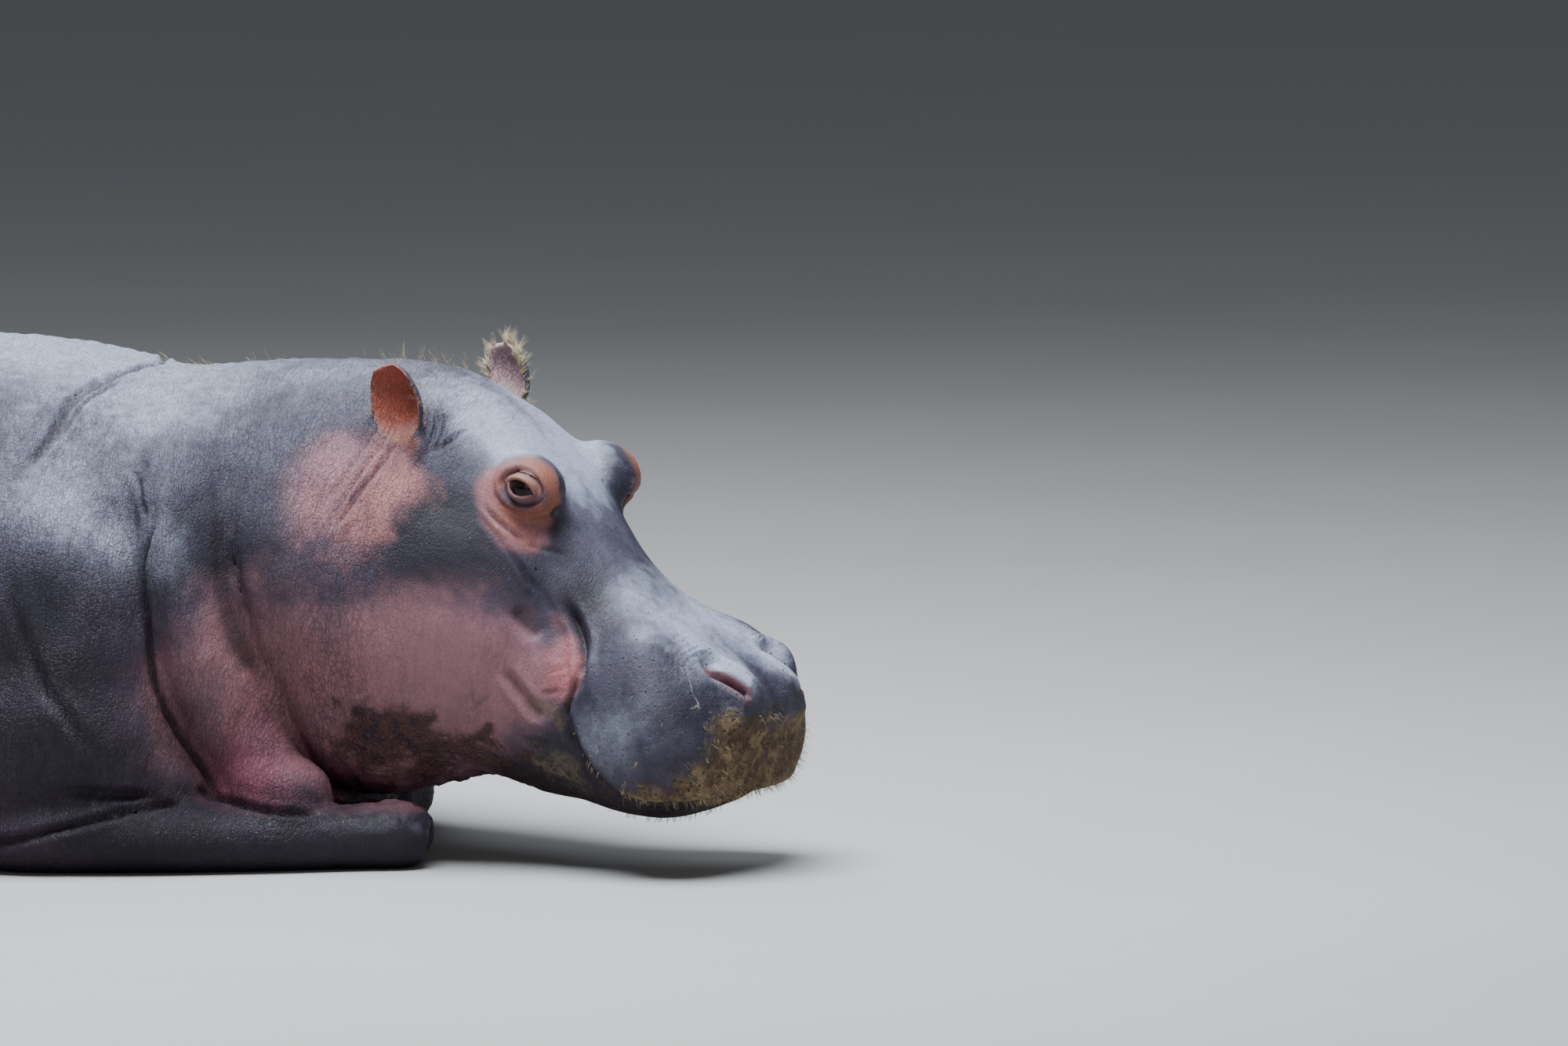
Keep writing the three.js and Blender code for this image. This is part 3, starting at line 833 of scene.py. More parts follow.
@dataclass
class Surface:
    """The skin while it is carved: its places, normals, and the same in the head's frame, in metres.

    Attributes:
        points: places in the model.
        normals: outward directions.
        cavity: painted shade for the finish, from 0 to 1, by how deep in a fold each place lies.
    """

    points: Points
    normals: Points

    def __post_init__(self) -> None:
        """Reads the places in the head's frame and starts with no painted shade in folds."""
        self.cavity = np.zeros(len(self.points))
        self.head = HEAD.read(self.points)

    def push(self, amount: Points, where: Optional[Points] = None) -> None:
        """Moves places along their normals.

        Args:
            amount: how far, in metres, outwards.
            where: which places, if not all.
        """
        if where is None:
            self.points = self.points + self.normals * amount[:, None]
        else:
            self.points[where] += self.normals[where] * amount[:, None]
        self.head = HEAD.read(self.points)

    def darken(self, where: Points, amount: Points) -> None:
        """Paints shade at some places that lie in a fold, where they have no deeper shade already."""
        self.cavity[where] = np.maximum(self.cavity[where], amount)

    def move_in_head(self, moved: Points, where: Points) -> None:
        """Puts some places elsewhere, given in the head's frame."""
        self.head[where] = moved
        self.points[where] = HEAD.place(moved)

    def laid(self, line: Sequence[Triple], in_head: bool, side: Side, step: float = 0.006) -> Points:
        """A smooth run through corners given in millimetres for the animal's right side, laid on the skin.

        Args:
            line: the corners.
            in_head: whether they are in the head's frame.
            side: the side to lay it on.
            step: metres between the run's places.

        Returns:
            The run, in metres, in the frame that its corners have.
        """
        corners = np.array(line, float) * (MM, -MM * side.value, MM)
        length = np.linalg.norm(np.diff(corners, axis=0), axis=1).sum()
        run = centripetal(corners, np.linspace(0, 1, max(4, int(length / step))))
        where = self.near(run, 0.05, in_head)
        if not len(where):
            return run
        home = (self.head if in_head else self.points)[where]
        out = HEAD.read_aim(self.normals[where]) if in_head else self.normals[where]
        nearest = np.array([np.argmin(((home - place) ** 2).sum(1)) for place in run])
        along = ((home[nearest] - run) * out[nearest]).sum(1)
        along = np.convolve(np.pad(along, 2, mode="edge"), np.ones(5) / 5, mode="valid")
        return run + out[nearest] * along[:, None]

    def near(self, line: Points, reach: float, in_head: bool) -> Points:
        """Which places lie within reach of a line's box."""
        home = self.head if in_head else self.points
        low, high = line.min(0) - reach, line.max(0) + reach
        return np.nonzero(((home > low) & (home < high)).all(1))[0]


@dataclass(frozen=True)
class SkinLine:
    """A line on the skin, given on the animal's right side, in millimetres.

    Attributes:
        line: its corners.
        in_head: whether they are in the head's frame.
        left: its share of the depth on the animal's left.
    """

    line: tuple[Triple, ...]
    in_head: bool = field(default=True, kw_only=True)
    left: float = field(default=1.0, kw_only=True)

    def runs(self, skin: Surface, reach: float) -> Iterator[tuple[Points, Points, Points, Points, float]]:
        """The line, laid on each side of the skin in turn.

        Args:
            skin: the skin.
            reach: how far from the line, in metres, places still matter.

        Yields:
            Which places are near, these places, their distances from the line, how far along it they lie, and the
            side's share of the depth.
        """
        for side, share in ((Side.RIGHT, 1.0), (Side.LEFT, self.left)):
            if share:
                line = skin.laid(self.line, self.in_head, side)
                where = skin.near(line, reach, self.in_head)
                home = (skin.head if self.in_head else skin.points)[where]
                yield where, home, *away_from_line(home, line), share


def faded(along: Points, taper: float) -> Points:
    """1 along a line, falling to 0 at both its ends over a share of its length."""
    return smooth(along, 0, taper) * (1 - smooth(along, 1 - taper, 1))


@dataclass(frozen=True)
class Crease(SkinLine):
    """A fold pressed into the skin.

    Attributes:
        depth: how deep it is; a ridge has a negative depth.
        width: how wide.
        rim: how far its lips stand up beside it.
        sharp: how steeply its walls fall, 2 for a round groove and near 1 for a slit.
        taper: the share of its length over which each end fades.
        dark: how dark the painted shade on its floor is.
    """

    depth: float
    width: float
    rim: float = 0.0
    sharp: float = 1.5
    taper: float = 0.18
    dark: float = 1.0

    def press(self, skin: Surface) -> None:
        """Presses the crease into the skin on both sides, with painted shade on the floor of a groove."""
        wide = self.width * MM
        for where, _, far, along, share in self.runs(skin, wide * 4):
            ends = faded(along, self.taper)
            hollow = np.exp(-((far / wide) ** self.sharp)) * ends * share
            lips = bell(far - 2.1 * wide, wide) * ends * share
            skin.push(-hollow * self.depth * MM + lips * self.rim * MM, where)
            if self.depth > 0:
                skin.darken(where, hollow * min(1.0, self.depth / FULLY_DARK) * self.dark)


@dataclass(frozen=True)
class Furrows(SkinLine):
    """Fine parallel wrinkles that follow a line: how far beside it they reach, their spacing and their depth."""

    reach: float
    spacing: float
    depth: float

    def press(self, skin: Surface) -> None:
        """Presses the wrinkles into the skin on both sides."""
        for where, home, far, along, share in self.runs(skin, self.reach * MM * 2):
            sway = noise(home, 0.05, 5) * 0.6
            wave = np.abs(np.sin(np.pi * far / (self.spacing * MM) + sway)) - MEAN_WAVE
            skin.push(wave * self.depth * MM * bell(far, self.reach * MM) * faded(along, 0.2) * share, where)


@dataclass(frozen=True)
class Mound:
    """A soft rise or hollow, given on the animal's left side, in millimetres."""

    at: Triple
    rise: float
    reach: Triple
    in_head: bool = True
    sides: tuple[Side, ...] = (Side.RIGHT, Side.LEFT)

    def press(self, skin: Surface) -> None:
        """Raises the skin on its sides."""
        for side in self.sides:
            centre, reach = mirrored([self.at], side)[0], np.array(self.reach) * MM
            home = skin.head if self.in_head else skin.points
            where = np.nonzero((np.abs(home - centre) < reach * 2.4).all(1))[0]
            skin.push(blob(home[where], centre, reach) * self.rise * MM, where)


@dataclass(frozen=True)
class Eye:
    """An eyeball and its almond opening, in the head's millimetres, for the left side.

    Attributes:
        at: the ball's middle.
        radius: the ball's.
        rear: the opening's reach backwards.
        front: its reach forwards.
        above: its height over the line between the corners.
        below: its depth under that line.
        tilt: how that line rises to the front.
        upper_fold: how far outside the rim the fold over the upper lid runs.
        lower_fold: the same under the lower lid.
        bag_fold: the same under the bag below it.
        hold: up to how far outside the rim the skin wholly follows the lids.
        reach: where it no longer does.
    """

    at: Triple = (239, 143, 149)
    radius: float = 25.0
    rear: float = 21.0
    front: float = 20.0
    above: float = 11.0
    below: float = 10.0
    tilt: float = 0.18
    upper_fold: float = 10.8
    lower_fold: float = 13.4
    bag_fold: float = 28.0
    hold: float = 27.0
    reach: float = 42.0

    def edge(self, u: Points, v: Points) -> Points:
        """How far a place is outside the opening's rim, in millimetres, and below 0 inside it.

        Args:
            u: millimetres towards the muzzle.
            v: millimetres towards the crown.

        Returns:
            One distance for each place.
        """
        s = np.linspace(-1, 1, 25)
        along = np.where(s < 0, self.rear, self.front) * s
        bow = 1 - np.abs(s) ** 2.2
        top = np.column_stack([along, self.tilt * along + self.above * bow, 0 * s])
        low = np.column_stack([along, self.tilt * along - self.below * bow, 0 * s])
        far, _ = away_from_line(np.column_stack([u, v, 0 * u]), np.vstack([top, low[::-1]]))
        share = np.abs(u / np.where(u < 0, self.rear, self.front))
        off = v - self.tilt * u
        room = np.where(off > 0, self.above, self.below) * (1 - np.minimum(share, 1) ** 2.2)
        return np.where((share < 1) & (np.abs(off) < room), -far, far)

    def carve(self, skin: Surface) -> None:
        """Shapes the lids over the eyeball, and a socket behind their opening, with painted shade in their grooves
        and inside the opening.
        """
        for side in Side:
            home = skin.head / MM
            u, v, w = home[:, 0] - self.at[0], home[:, 2] - self.at[2], home[:, 1] * side.value
            where = np.nonzero((u**2 + v**2 < 64.0**2) & (w > 96))[0]
            u, v, w = u[where], v[where], w[where]
            far, edge = np.hypot(u, v), self.edge(u, v)
            ball = self.at[1] + np.sqrt(np.maximum(self.radius**2 - far**2, 16.0))
            upper = smooth(v - self.tilt * u, -3, 4)
            lower = 1 - upper
            hold = 1 - smooth(edge, 10, 28)
            base = w + np.maximum(ball - w, -6) * hold
            lid = 2.0 * (1 - bell(edge, 1.4)) + upper * 4.2 * bell(edge - 5.6, 3.8)
            lid += lower * (3.6 * bell(edge - 6.5, 4.0) + 4.2 * bell(edge - 20.5, 5.5))
            lid -= upper * 4.6 * np.exp(-np.abs((edge - self.upper_fold) / 1.7) ** 1.4)
            under = np.exp(-np.abs((edge - self.lower_fold) / 1.8) ** 1.4)
            lid -= lower * (3.6 * under + 3.0 * bell(edge - self.bag_fold, 2.2))
            lid += upper * 3.0 * bell(edge - 21, 6.0) - upper * 0.9 * bell(edge - 18.5, 1.5)
            # fine pleats that run out from the lids
            turn = np.arctan2(v, u)
            pleats = np.abs(np.sin(turn * 17 + 1.2 * np.sin(turn * 5 + edge / 6))) - MEAN_WAVE
            lid += pleats * 0.7 * bell(edge - 22, 8)
            shaped = base + lid * (1 - smooth(edge, self.hold, self.reach))
            socket = ball - 6.5
            shaped = np.where(edge < 0, socket + (shaped - socket) * smooth(edge, -1.0, 0.0), shaped)
            moved = skin.head[where]
            moved[:, 1] = np.where(edge < self.reach, shaped, w) * MM * side.value
            skin.move_in_head(moved, where)
            # painted shade in the grooves round the lids and inside the opening
            groove = upper * 0.5 * bell(edge - self.upper_fold, 1.6) + lower * 0.4 * bell(edge - self.lower_fold, 1.8)
            groove += 0.35 * lower * bell(edge - self.bag_fold, 2.2) + (edge < 0) + 0.8 * bell(edge, 1.4)
            skin.darken(where, np.clip(groove, 0, 1))


EYE = Eye()


@dataclass(frozen=True)
class Mouth:
    """The closed mouth: the lip's edge in the head's x and z, and how far the lower jaw lies back, in mm."""

    line: tuple[tuple[float, float], ...] = (
        (462, -6), (470, -30), (474, -46), (486, -68), (504, -86), (535, -103), (568, -114), (596, -119),
        (622, -119), (648, -114), (672, -104), (705, -82), (740, -56),
    )
    inset: float = 20.0
    groove: float = 9.0

    def carve(self, skin: Surface) -> None:
        """Lets the upper lip hang over the lower jaw, with a groove between them darkened by painted shade."""
        line = np.array([(x, 0, z) for x, z in self.line], float)
        home = skin.head / MM
        where = np.nonzero((home[:, 0] > 430) & (home[:, 2] < 30))[0]
        x, y, z = home[where].T
        far, _ = away_from_line(np.column_stack([x, np.zeros_like(x), z]), line)
        edge_height = np.interp(x, line[2:, 0], line[2:, 2])
        below = (x >= line[2, 0]) & (z < edge_height)
        drawn = self.inset * smooth(far, 0.0, 9.0) * smooth(x, 466, 540) * below
        tucked = 15.0 * smooth(far, 0, 10) * smooth(x, 640, 705) * below
        moved = skin.head[where]
        moved[:, 1] -= np.sign(y) * np.minimum(np.abs(y), drawn) * MM
        moved[:, 0] -= tucked * MM
        skin.move_in_head(moved, where)
        held = smooth(x, 462, 476)
        lip = 3.4 * bell(far - 15, 10) * (1 - below) - self.groove * np.exp(-((far / 4.5) ** 1.4))
        skin.push(lip * held * MM, where)
        skin.darken(where, bell(far, 6) * held)


@dataclass(frozen=True)
class JowlFold:
    """The deep fold where the neck's roll meets the head, on the head's first section."""

    depth: float = 10.0
    width: float = 8.0

    def carve(self, skin: Surface) -> None:
        """Deepens the fold towards the throat, paints shade in it, and lets both lips of it bulge."""
        x, _, z = (skin.head / MM).T
        far = (x + z + 190 + 5 * np.sin(z / 55)) / math.sqrt(2)
        where = np.nonzero((np.abs(far) < 60) & (z < 20) & (x < 320))[0]
        far, z = far[where], z[where]
        low = smooth(-z, 10, 190) * smooth(skin.points[where, 2], 0.24, 0.32)
        wide = self.width * (0.7 + 0.5 * low)
        hollow = np.exp(-(np.abs(far / wide) ** 1.25)) * low
        bulge = (bell(far + 26, 15) * 7 + bell(far - 24, 15) * 5) * low
        skin.push((bulge - hollow * self.depth) * MM, where)
        skin.darken(where, hollow)


CREASES: tuple[Crease, ...] = (
    # corner of the mouth and its pink folds
    Crease(((369, -137, 48), (395, -138, 38), (418, -140, 28), (442, -153, 18), (464, -166, 1), (480, -177, -14),
        (483, -180, -33), (478, -174, -54)), 12, 7, rim=4, taper=0.25),
    Crease(((425, -172, -45), (446, -170, -23), (467, -169, -4)), 1.4, 3.0, rim=0.6, dark=0.25),
    Crease(((434, -176, -75), (451, -165, -60), (470, -160, -46)), 2.4, 3.4, rim=1.0, dark=0.4),
    Crease(((296, -166, 62), (322, -160, 48), (350, -152, 34), (384, -146, 20)), 2.0, 5, rim=1.0, dark=0.3),
    Crease(((332, -182, 5), (362, -172, -9), (386, -165, -12)), 6, 11, rim=2, dark=0.7),
    Crease(((367, -191, -74), (391, -183, -85), (417, -178, -95), (441, -161, -101), (456, -159, -90)), 6, 8, rim=3,
        dark=0.6),
    Crease(((431, -154, -144), (443, -151, -147), (458, -149, -143), (469, -150, -131), (478, -155, -112)), 4.5,
        5.5, rim=2.5, taper=0.4, dark=0.6),
    Crease(((484, -181, -35), (484, -181, -57), (484, -159, -84), (501, -160, -100), (521, -159, -113)), 5, 5,
        rim=2.5),
    Crease(((347, -199, -128), (361, -190, -150), (364, -191, -132)), 3.2, 2.6, rim=1.0),
    Crease(((371, -186, -120), (366, -190, -146), (358, -190, -166)), 3.2, 2.6, rim=1.0),
    # below and round the eye
    Crease(((205, -171, 102), (224, -172, 95), (244, -166, 90), (265, -159, 87), (287, -150, 84)), 4.5, 3.8, rim=2),
    Crease(((206, -181, 89), (233, -181, 81), (263, -175, 71), (294, -169, 60), (325, -163, 44), (348, -157, 35)),
        4.0, 4.0, rim=1.6),
    Crease(((287, -150, 84), (305, -137, 86), (324, -119, 91), (337, -114, 89)), 3.4, 3.6, rim=1.2),
    Crease(((293, -112, 150), (295, -110, 136), (292, -112, 122)), 9, 8, rim=1, taper=0.4),
    # front and rear of the ear
    Crease(((21, -105, 150), (42, -118, 148), (60, -131, 141), (75, -149, 130), (88, -172, 113)), 5, 3.2, rim=2.6),
    Crease(((12, -112, 152), (34, -124, 150), (52, -137, 143), (66, -154, 130), (76, -172, 112)), 4.4, 3.0, rim=2.2),
    Crease(((36, -98, 150), (58, -110, 147), (76, -124, 141), (90, -144, 130), (98, -166, 112)), 3.4, 3.0, rim=1.6),
    Crease(((90, -173, 111), (100, -164, 121), (105, -140, 139), (106, -118, 154)), 4.2, 3.8, rim=1.6),
    Crease(((42, -179, 104), (51, -198, 78), (55, -217, 55), (58, -232, 31), (60, -248, 7), (63, -257, -12),
        (68, -272, -41)), 4.2, 4.0, rim=1.8),
    Crease(((26, -180, 102), (35, -205, 68), (42, -232, 31), (50, -259, -14), (60, -276, -50)), 3.2, 3.4, rim=1.2),
    Crease(((8, -186, 96), (16, -212, 62), (24, -238, 26), (30, -262, -12)), 2.6, 3.4, rim=1.0),
    Crease(((-40, -200, 60), (-28, -226, 25), (-2, -255, -9), (28, -274, -42), (64, -284, -70)), 2.6, 4.4, rim=1.0),
    # arcs behind the nostril
    Crease(((608, -143, 70), (593, -140, 76), (584, -132, 82), (581, -116, 89), (584, -95, 94), (589, -72, 97)),
        2.2, 2.2, rim=0.9),
    Crease(((607, -153, 64), (590, -148, 72), (577, -136, 81), (572, -115, 89), (574, -91, 95), (578, -53, 96)),
        2.0, 2.2, rim=0.9),
    Crease(((597, -158, 64), (583, -153, 71), (570, -142, 80), (563, -117, 89), (563, -88, 95), (565, -45, 94)),
        1.7, 2.2, rim=0.9),
    Crease(((590, -163, 62), (576, -157, 69), (563, -146, 79), (554, -120, 88), (551, -82, 94), (552, -39, 94)),
        1.4, 2.2, rim=0.9),
    Crease(((584, -168, 61), (568, -160, 68), (554, -149, 79), (546, -122, 88), (540, -82, 93), (540, -41, 95)),
        1.1, 2.2, rim=0.9),
    # withers and shoulder
    Crease(((655, 350, 590), (679, 268, 650), (702, 188, 685), (732, 91, 701), (750, 0, 704), (735, -91, 701),
        (721, -136, 695), (705, -188, 685), (692, -224, 673), (683, -258, 659), (679, -294, 639), (672, -323, 618),
        (662, -354, 598), (651, -377, 577), (636, -404, 552)), 8, 5.5, rim=2.5, in_head=False, left=0, taper=0.1),
    Crease(((747, -101, 697), (729, -143, 691), (714, -197, 681), (700, -234, 666), (693, -267, 652),
        (688, -300, 632), (679, -331, 610), (670, -360, 590)), 6.5, 4.5, rim=3, in_head=False, taper=0.2),
    Crease(((716, -110, 700), (704, -160, 692), (690, -206, 679), (676, -248, 662), (664, -296, 638)), 3.5, 4.5,
        rim=2, in_head=False, taper=0.3),
    Crease(((636, -452, 470), (651, -465, 427), (658, -470, 382), (675, -469, 337), (693, -472, 292),
        (705, -475, 262), (733, -470, 225), (757, -452, 189), (772, -432, 158)), 5.5, 8, rim=2.5, in_head=False,
        taper=0.25),
    # the neck's rear fold, with the branches at its top
    Crease(((847, -365, 569), (845, -389, 537), (849, -406, 510), (843, -411, 482), (837, -404, 447),
        (839, -404, 379), (840, -401, 310), (846, -390, 264), (858, -370, 222), (877, -350, 179), (892, -330, 133),
        (915, -300, 90)), 10, 5.0, rim=3.5, in_head=False, left=0.6, taper=0.2),
    Crease(((795, -324, 575), (812, -350, 556), (825, -372, 535), (845, -402, 509)), 4.5, 4.0, rim=2, in_head=False,
        left=0.4),
    Crease(((770, -402, 560), (800, -398, 540), (836, -398, 520)), 2.6, 5, rim=1, in_head=False, left=0.4),
    Crease(((878, -344, 193), (894, -375, 216), (906, -390, 238)), 4.5, 4, rim=2, in_head=False, left=0.5),
    # the fold between the neck's roll and the head, on the side
    Crease(((926, -278, 562), (931, -296, 518), (943, -309, 463), (951, -310, 417), (959, -314, 361),
        (968, -308, 292), (977, -297, 240), (992, -276, 203)), 2.5, 6.0, rim=0.5, in_head=False, left=0.7,
        taper=0.25),
    # chest, over the forearm
    Crease(((690, -470, 132), (742, -455, 128), (790, -440, 120), (830, -424, 112), (868, -396, 106)), 7, 7, rim=3,
        in_head=False, taper=0.35),
    Crease(((560, -500, 52), (600, -500, 46), (644, -496, 50), (696, -488, 62), (752, -480, 76), (802, -462, 92),
        (850, -430, 104), (900, -390, 100)), 12, 6, rim=4, in_head=False, taper=0.12),
    # under the neck's roll, on the forearm
    Crease(((882, -352, 128), (905, -350, 110), (940, -350, 84), (985, -350, 68), (1035, -340, 62),
        (1080, -326, 70)), 9, 6, rim=4, in_head=False, taper=0.16),
    # flank, groin and rump
    Crease(((-420, -520, 330), (-392, -528, 250), (-372, -522, 170)), 9, 14, rim=4, in_head=False),
    Crease(((-470, -500, 420), (-430, -520, 360), (-402, -528, 300)), 5, 12, rim=2, in_head=False),
    Crease(((-960, -120, 500), (-985, -150, 400), (-985, -160, 290), (-960, -180, 190)), 12, 20, rim=6,
        in_head=False),
    Crease(((-905, -330, 300), (-890, -360, 220), (-870, -400, 150)), 8, 14, rim=4, in_head=False),
    Crease(((500, -510, 460), (520, -512, 380), (545, -505, 300), (560, -495, 220)), 4.5, 11, rim=2, in_head=False),
    Crease(((300, -560, 440), (316, -590, 330), (322, -600, 230)), 2.6, 14, rim=1, in_head=False),
    # knees and hocks
    Crease(((-470, -512, 196), (-440, -508, 150), (-430, -480, 116)), 5, 8, rim=3, in_head=False),
    Crease(((-830, -500, 122), (-800, -512, 96), (-770, -520, 80)), 5, 7, rim=3, in_head=False),
)

FURROWS: tuple[Furrows, ...] = (
    Furrows(((596, -150, 70), (584, -120, 88), (582, -84, 98), (588, -50, 97)), 34, 5.5, 0.6),
    Furrows(((540, -60, 98), (548, -20, 97), (552, 20, 97)), 60, 7.0, 0.7),
    Furrows(((60, -90, 165), (110, -84, 172), (150, -70, 172)), 60, 8.0, 0.8),
    Furrows(((30, -117, 147), (63, -120, 149), (88, -139, 138), (101, -173, 111)), 24, 6.0, 1.8),
    Furrows(((417, -168, 0), (446, -168, -22), (470, -168, -50)), 34, 5.0, 0.8),
    Furrows(((705, -188, 685), (683, -258, 659), (662, -354, 598)), 70, 9.5, 1.6, in_head=False),
    Furrows(((838, -398, 560), (840, -404, 402), (852, -390, 280)), 60, 9, 1.2, in_head=False, left=0.6),
    Furrows(((51, -198, 78), (58, -232, 31), (66, -268, -35)), 44, 8, 1.3),
    Furrows(((244, -166, 88), (290, -168, 66), (340, -158, 42)), 34, 6.5, 1.2),
    Furrows(((1195, -300, 60), (1212, -262, 66), (1200, -222, 60)), 34, 8, 2.4, in_head=False),
    Furrows(((1100, -340, 80), (1110, -300, 92), (1100, -250, 88)), 40, 9, 2.2, in_head=False),
    Furrows(((-440, -505, 150), (-425, -470, 150), (-420, -430, 160)), 50, 11, 2.0, in_head=False),
)

MOUNDS: tuple[Mound, ...] = (
    Mound((300, 188, -60), 6, (90, 40, 70)),          # cheek
    Mound((545, 170, -20), 6, (52, 40, 52)),          # whisker pad
    Mound((120, 70, 185), 4, (70, 34, 30)),           # crown
    Mound((622, 112, 88), 15, (44, 46, 46), True, (Side.LEFT,)),   # left of the muzzle's front
    Mound((285, 120, -345), 20, (100, 90, 60)),       # foot of the jowl
    Mound((150, 205, 60), -7, (56, 40, 40)),          # hollow of the temple
    Mound((340, 120, 110), -4, (46, 30, 30)),         # below the brow
    Mound((-2, 176, 90), 6, (36, 30, 30)),            # muscle behind the ear
    Mound((410, -166, -30), 5, (44, 30, 50)),         # pink flesh at the corner of the mouth
    Mound((930, 300, 480), 22, (70, 70, 150), False),    # side of the neck
    Mound((700, 455, 470), 12, (110, 60, 90), False),    # shoulder blade
    Mound((650, 470, 240), 14, (110, 60, 100), False),   # upper arm
    Mound((-560, 470, 430), 16, (170, 80, 110), False),  # haunch
    Mound((-900, 210, 520), 14, (110, 110, 110), False), # seat bone
    Mound((100, 545, 190), 10, (420, 80, 130), False),   # belly
    Mound((-250, 500, 500), -10, (150, 90, 110), False), # flank
)


@dataclass(frozen=True)
class Nostril:
    """A nostril: a slit in the outer slope of a mound with a rolled inner rim, in the head's millimetres."""

    slit: tuple[Triple, ...] = (
        (598, -94, 68), (608, -91, 74), (625, -88, 80), (645, -85, 84), (665, -82, 86), (684, -80, 87),
        (690, -80, 86),
    )
    depth: float = 15.0
    width: float = 5.2
    crest: tuple[tuple[float, ...], ...] = (
        (560, 93, 95), (590, 95, 95), (610, 98, 94), (630, 101, 92), (650, 100, 88), (670, 97, 80), (685, 91, 70),
        (700, 76, 54), (712, 55, 30),
    )

    def carve(self, skin: Surface) -> None:
        """Raises the mounds."""
        x, y, z = (skin.head / MM).T
        up = HEAD.read_aim(skin.normals)[:, 2]
        where = np.nonzero((x > 545) & (x < 735) & (np.abs(y) < 135) & (z > 20) & (up > 0))[0]
        x, a, z = x[where], np.abs(y[where]), z[where]
        run = smooth(x, 576, 606) * (1 - smooth(x, 700, 718))
        table = np.array(self.crest)
        top, middle = np.interp(x, table[:, 0], table[:, 1]), np.interp(x, table[:, 0], table[:, 2])
        over = np.maximum(a - 58, 0)
        target = middle + (top - middle) * smooth(a, 8, 56) - 0.42 * over - 0.006 * over**2
        rise = np.clip(target - z, -26, 36) * run * smooth(up[where], 0.0, 0.3) * (1 - smooth(a, 92, 118))
        moved = skin.head[where]
        moved[:, 2] += rise * MM
        skin.move_in_head(moved, where)

    def cut(self, skin: Surface) -> None:
        """Cuts the slits, with thick rims."""
        inner = tuple((x, y + 11, z + 6) for x, y, z in self.slit)
        outer = tuple((x, y - 15, z - 8) for x, y, z in self.slit)
        brow = tuple((x - 4, y + 26, z + 10) for x, y, z in self.slit)
        Crease(inner, -4.0, 7, taper=0.3, sharp=2.0).press(skin)
        Crease(outer, -2.0, 9, taper=0.3, sharp=2.0).press(skin)
        Crease(brow, 2.4, 3.4, rim=0.8, taper=0.25, dark=0.6).press(skin)
        Crease(self.slit, self.depth, self.width, taper=0.22, sharp=3.0, dark=0.30).press(skin)


# ---------- markings


@dataclass(frozen=True)
class Marking:
    """One colouring of the skin, as soft spots that run into each other.

    Attributes:
        name: the attribute it is written to.
        head: spots in the head's frame, for both sides, as x, y, z, reach in millimetres, and strength.
        body: the same in the model's frame.
        ragged: how much its edge wanders.
    """

    name: str
    head: tuple[tuple[float, ...], ...] = ()
    body: tuple[tuple[float, ...], ...] = ()
    ragged: float = 0.35

    def read(self, points: Points, head: Points) -> Points:
        """How strong the marking is at each place.

        Args:
            points: places in the model.
            head: the same in the head's frame.

        Returns:
            One number from 0 to 1 for each place.
        """
        wander = 1 + self.ragged * (0.6 * noise(points, 0.09, 3) + 0.4 * noise(points, 0.03, 8))
        clear = np.ones(len(points))
        for spots, home in ((self.head, folded(head)), (self.body, folded(points))):
            for x, y, z, reach, strength in spots:
                far = np.linalg.norm(home - np.array((x, abs(y), z)) * MM, axis=1)
                clear *= 1 - strength * bell(far * wander, reach * MM)
        return 1 - clear


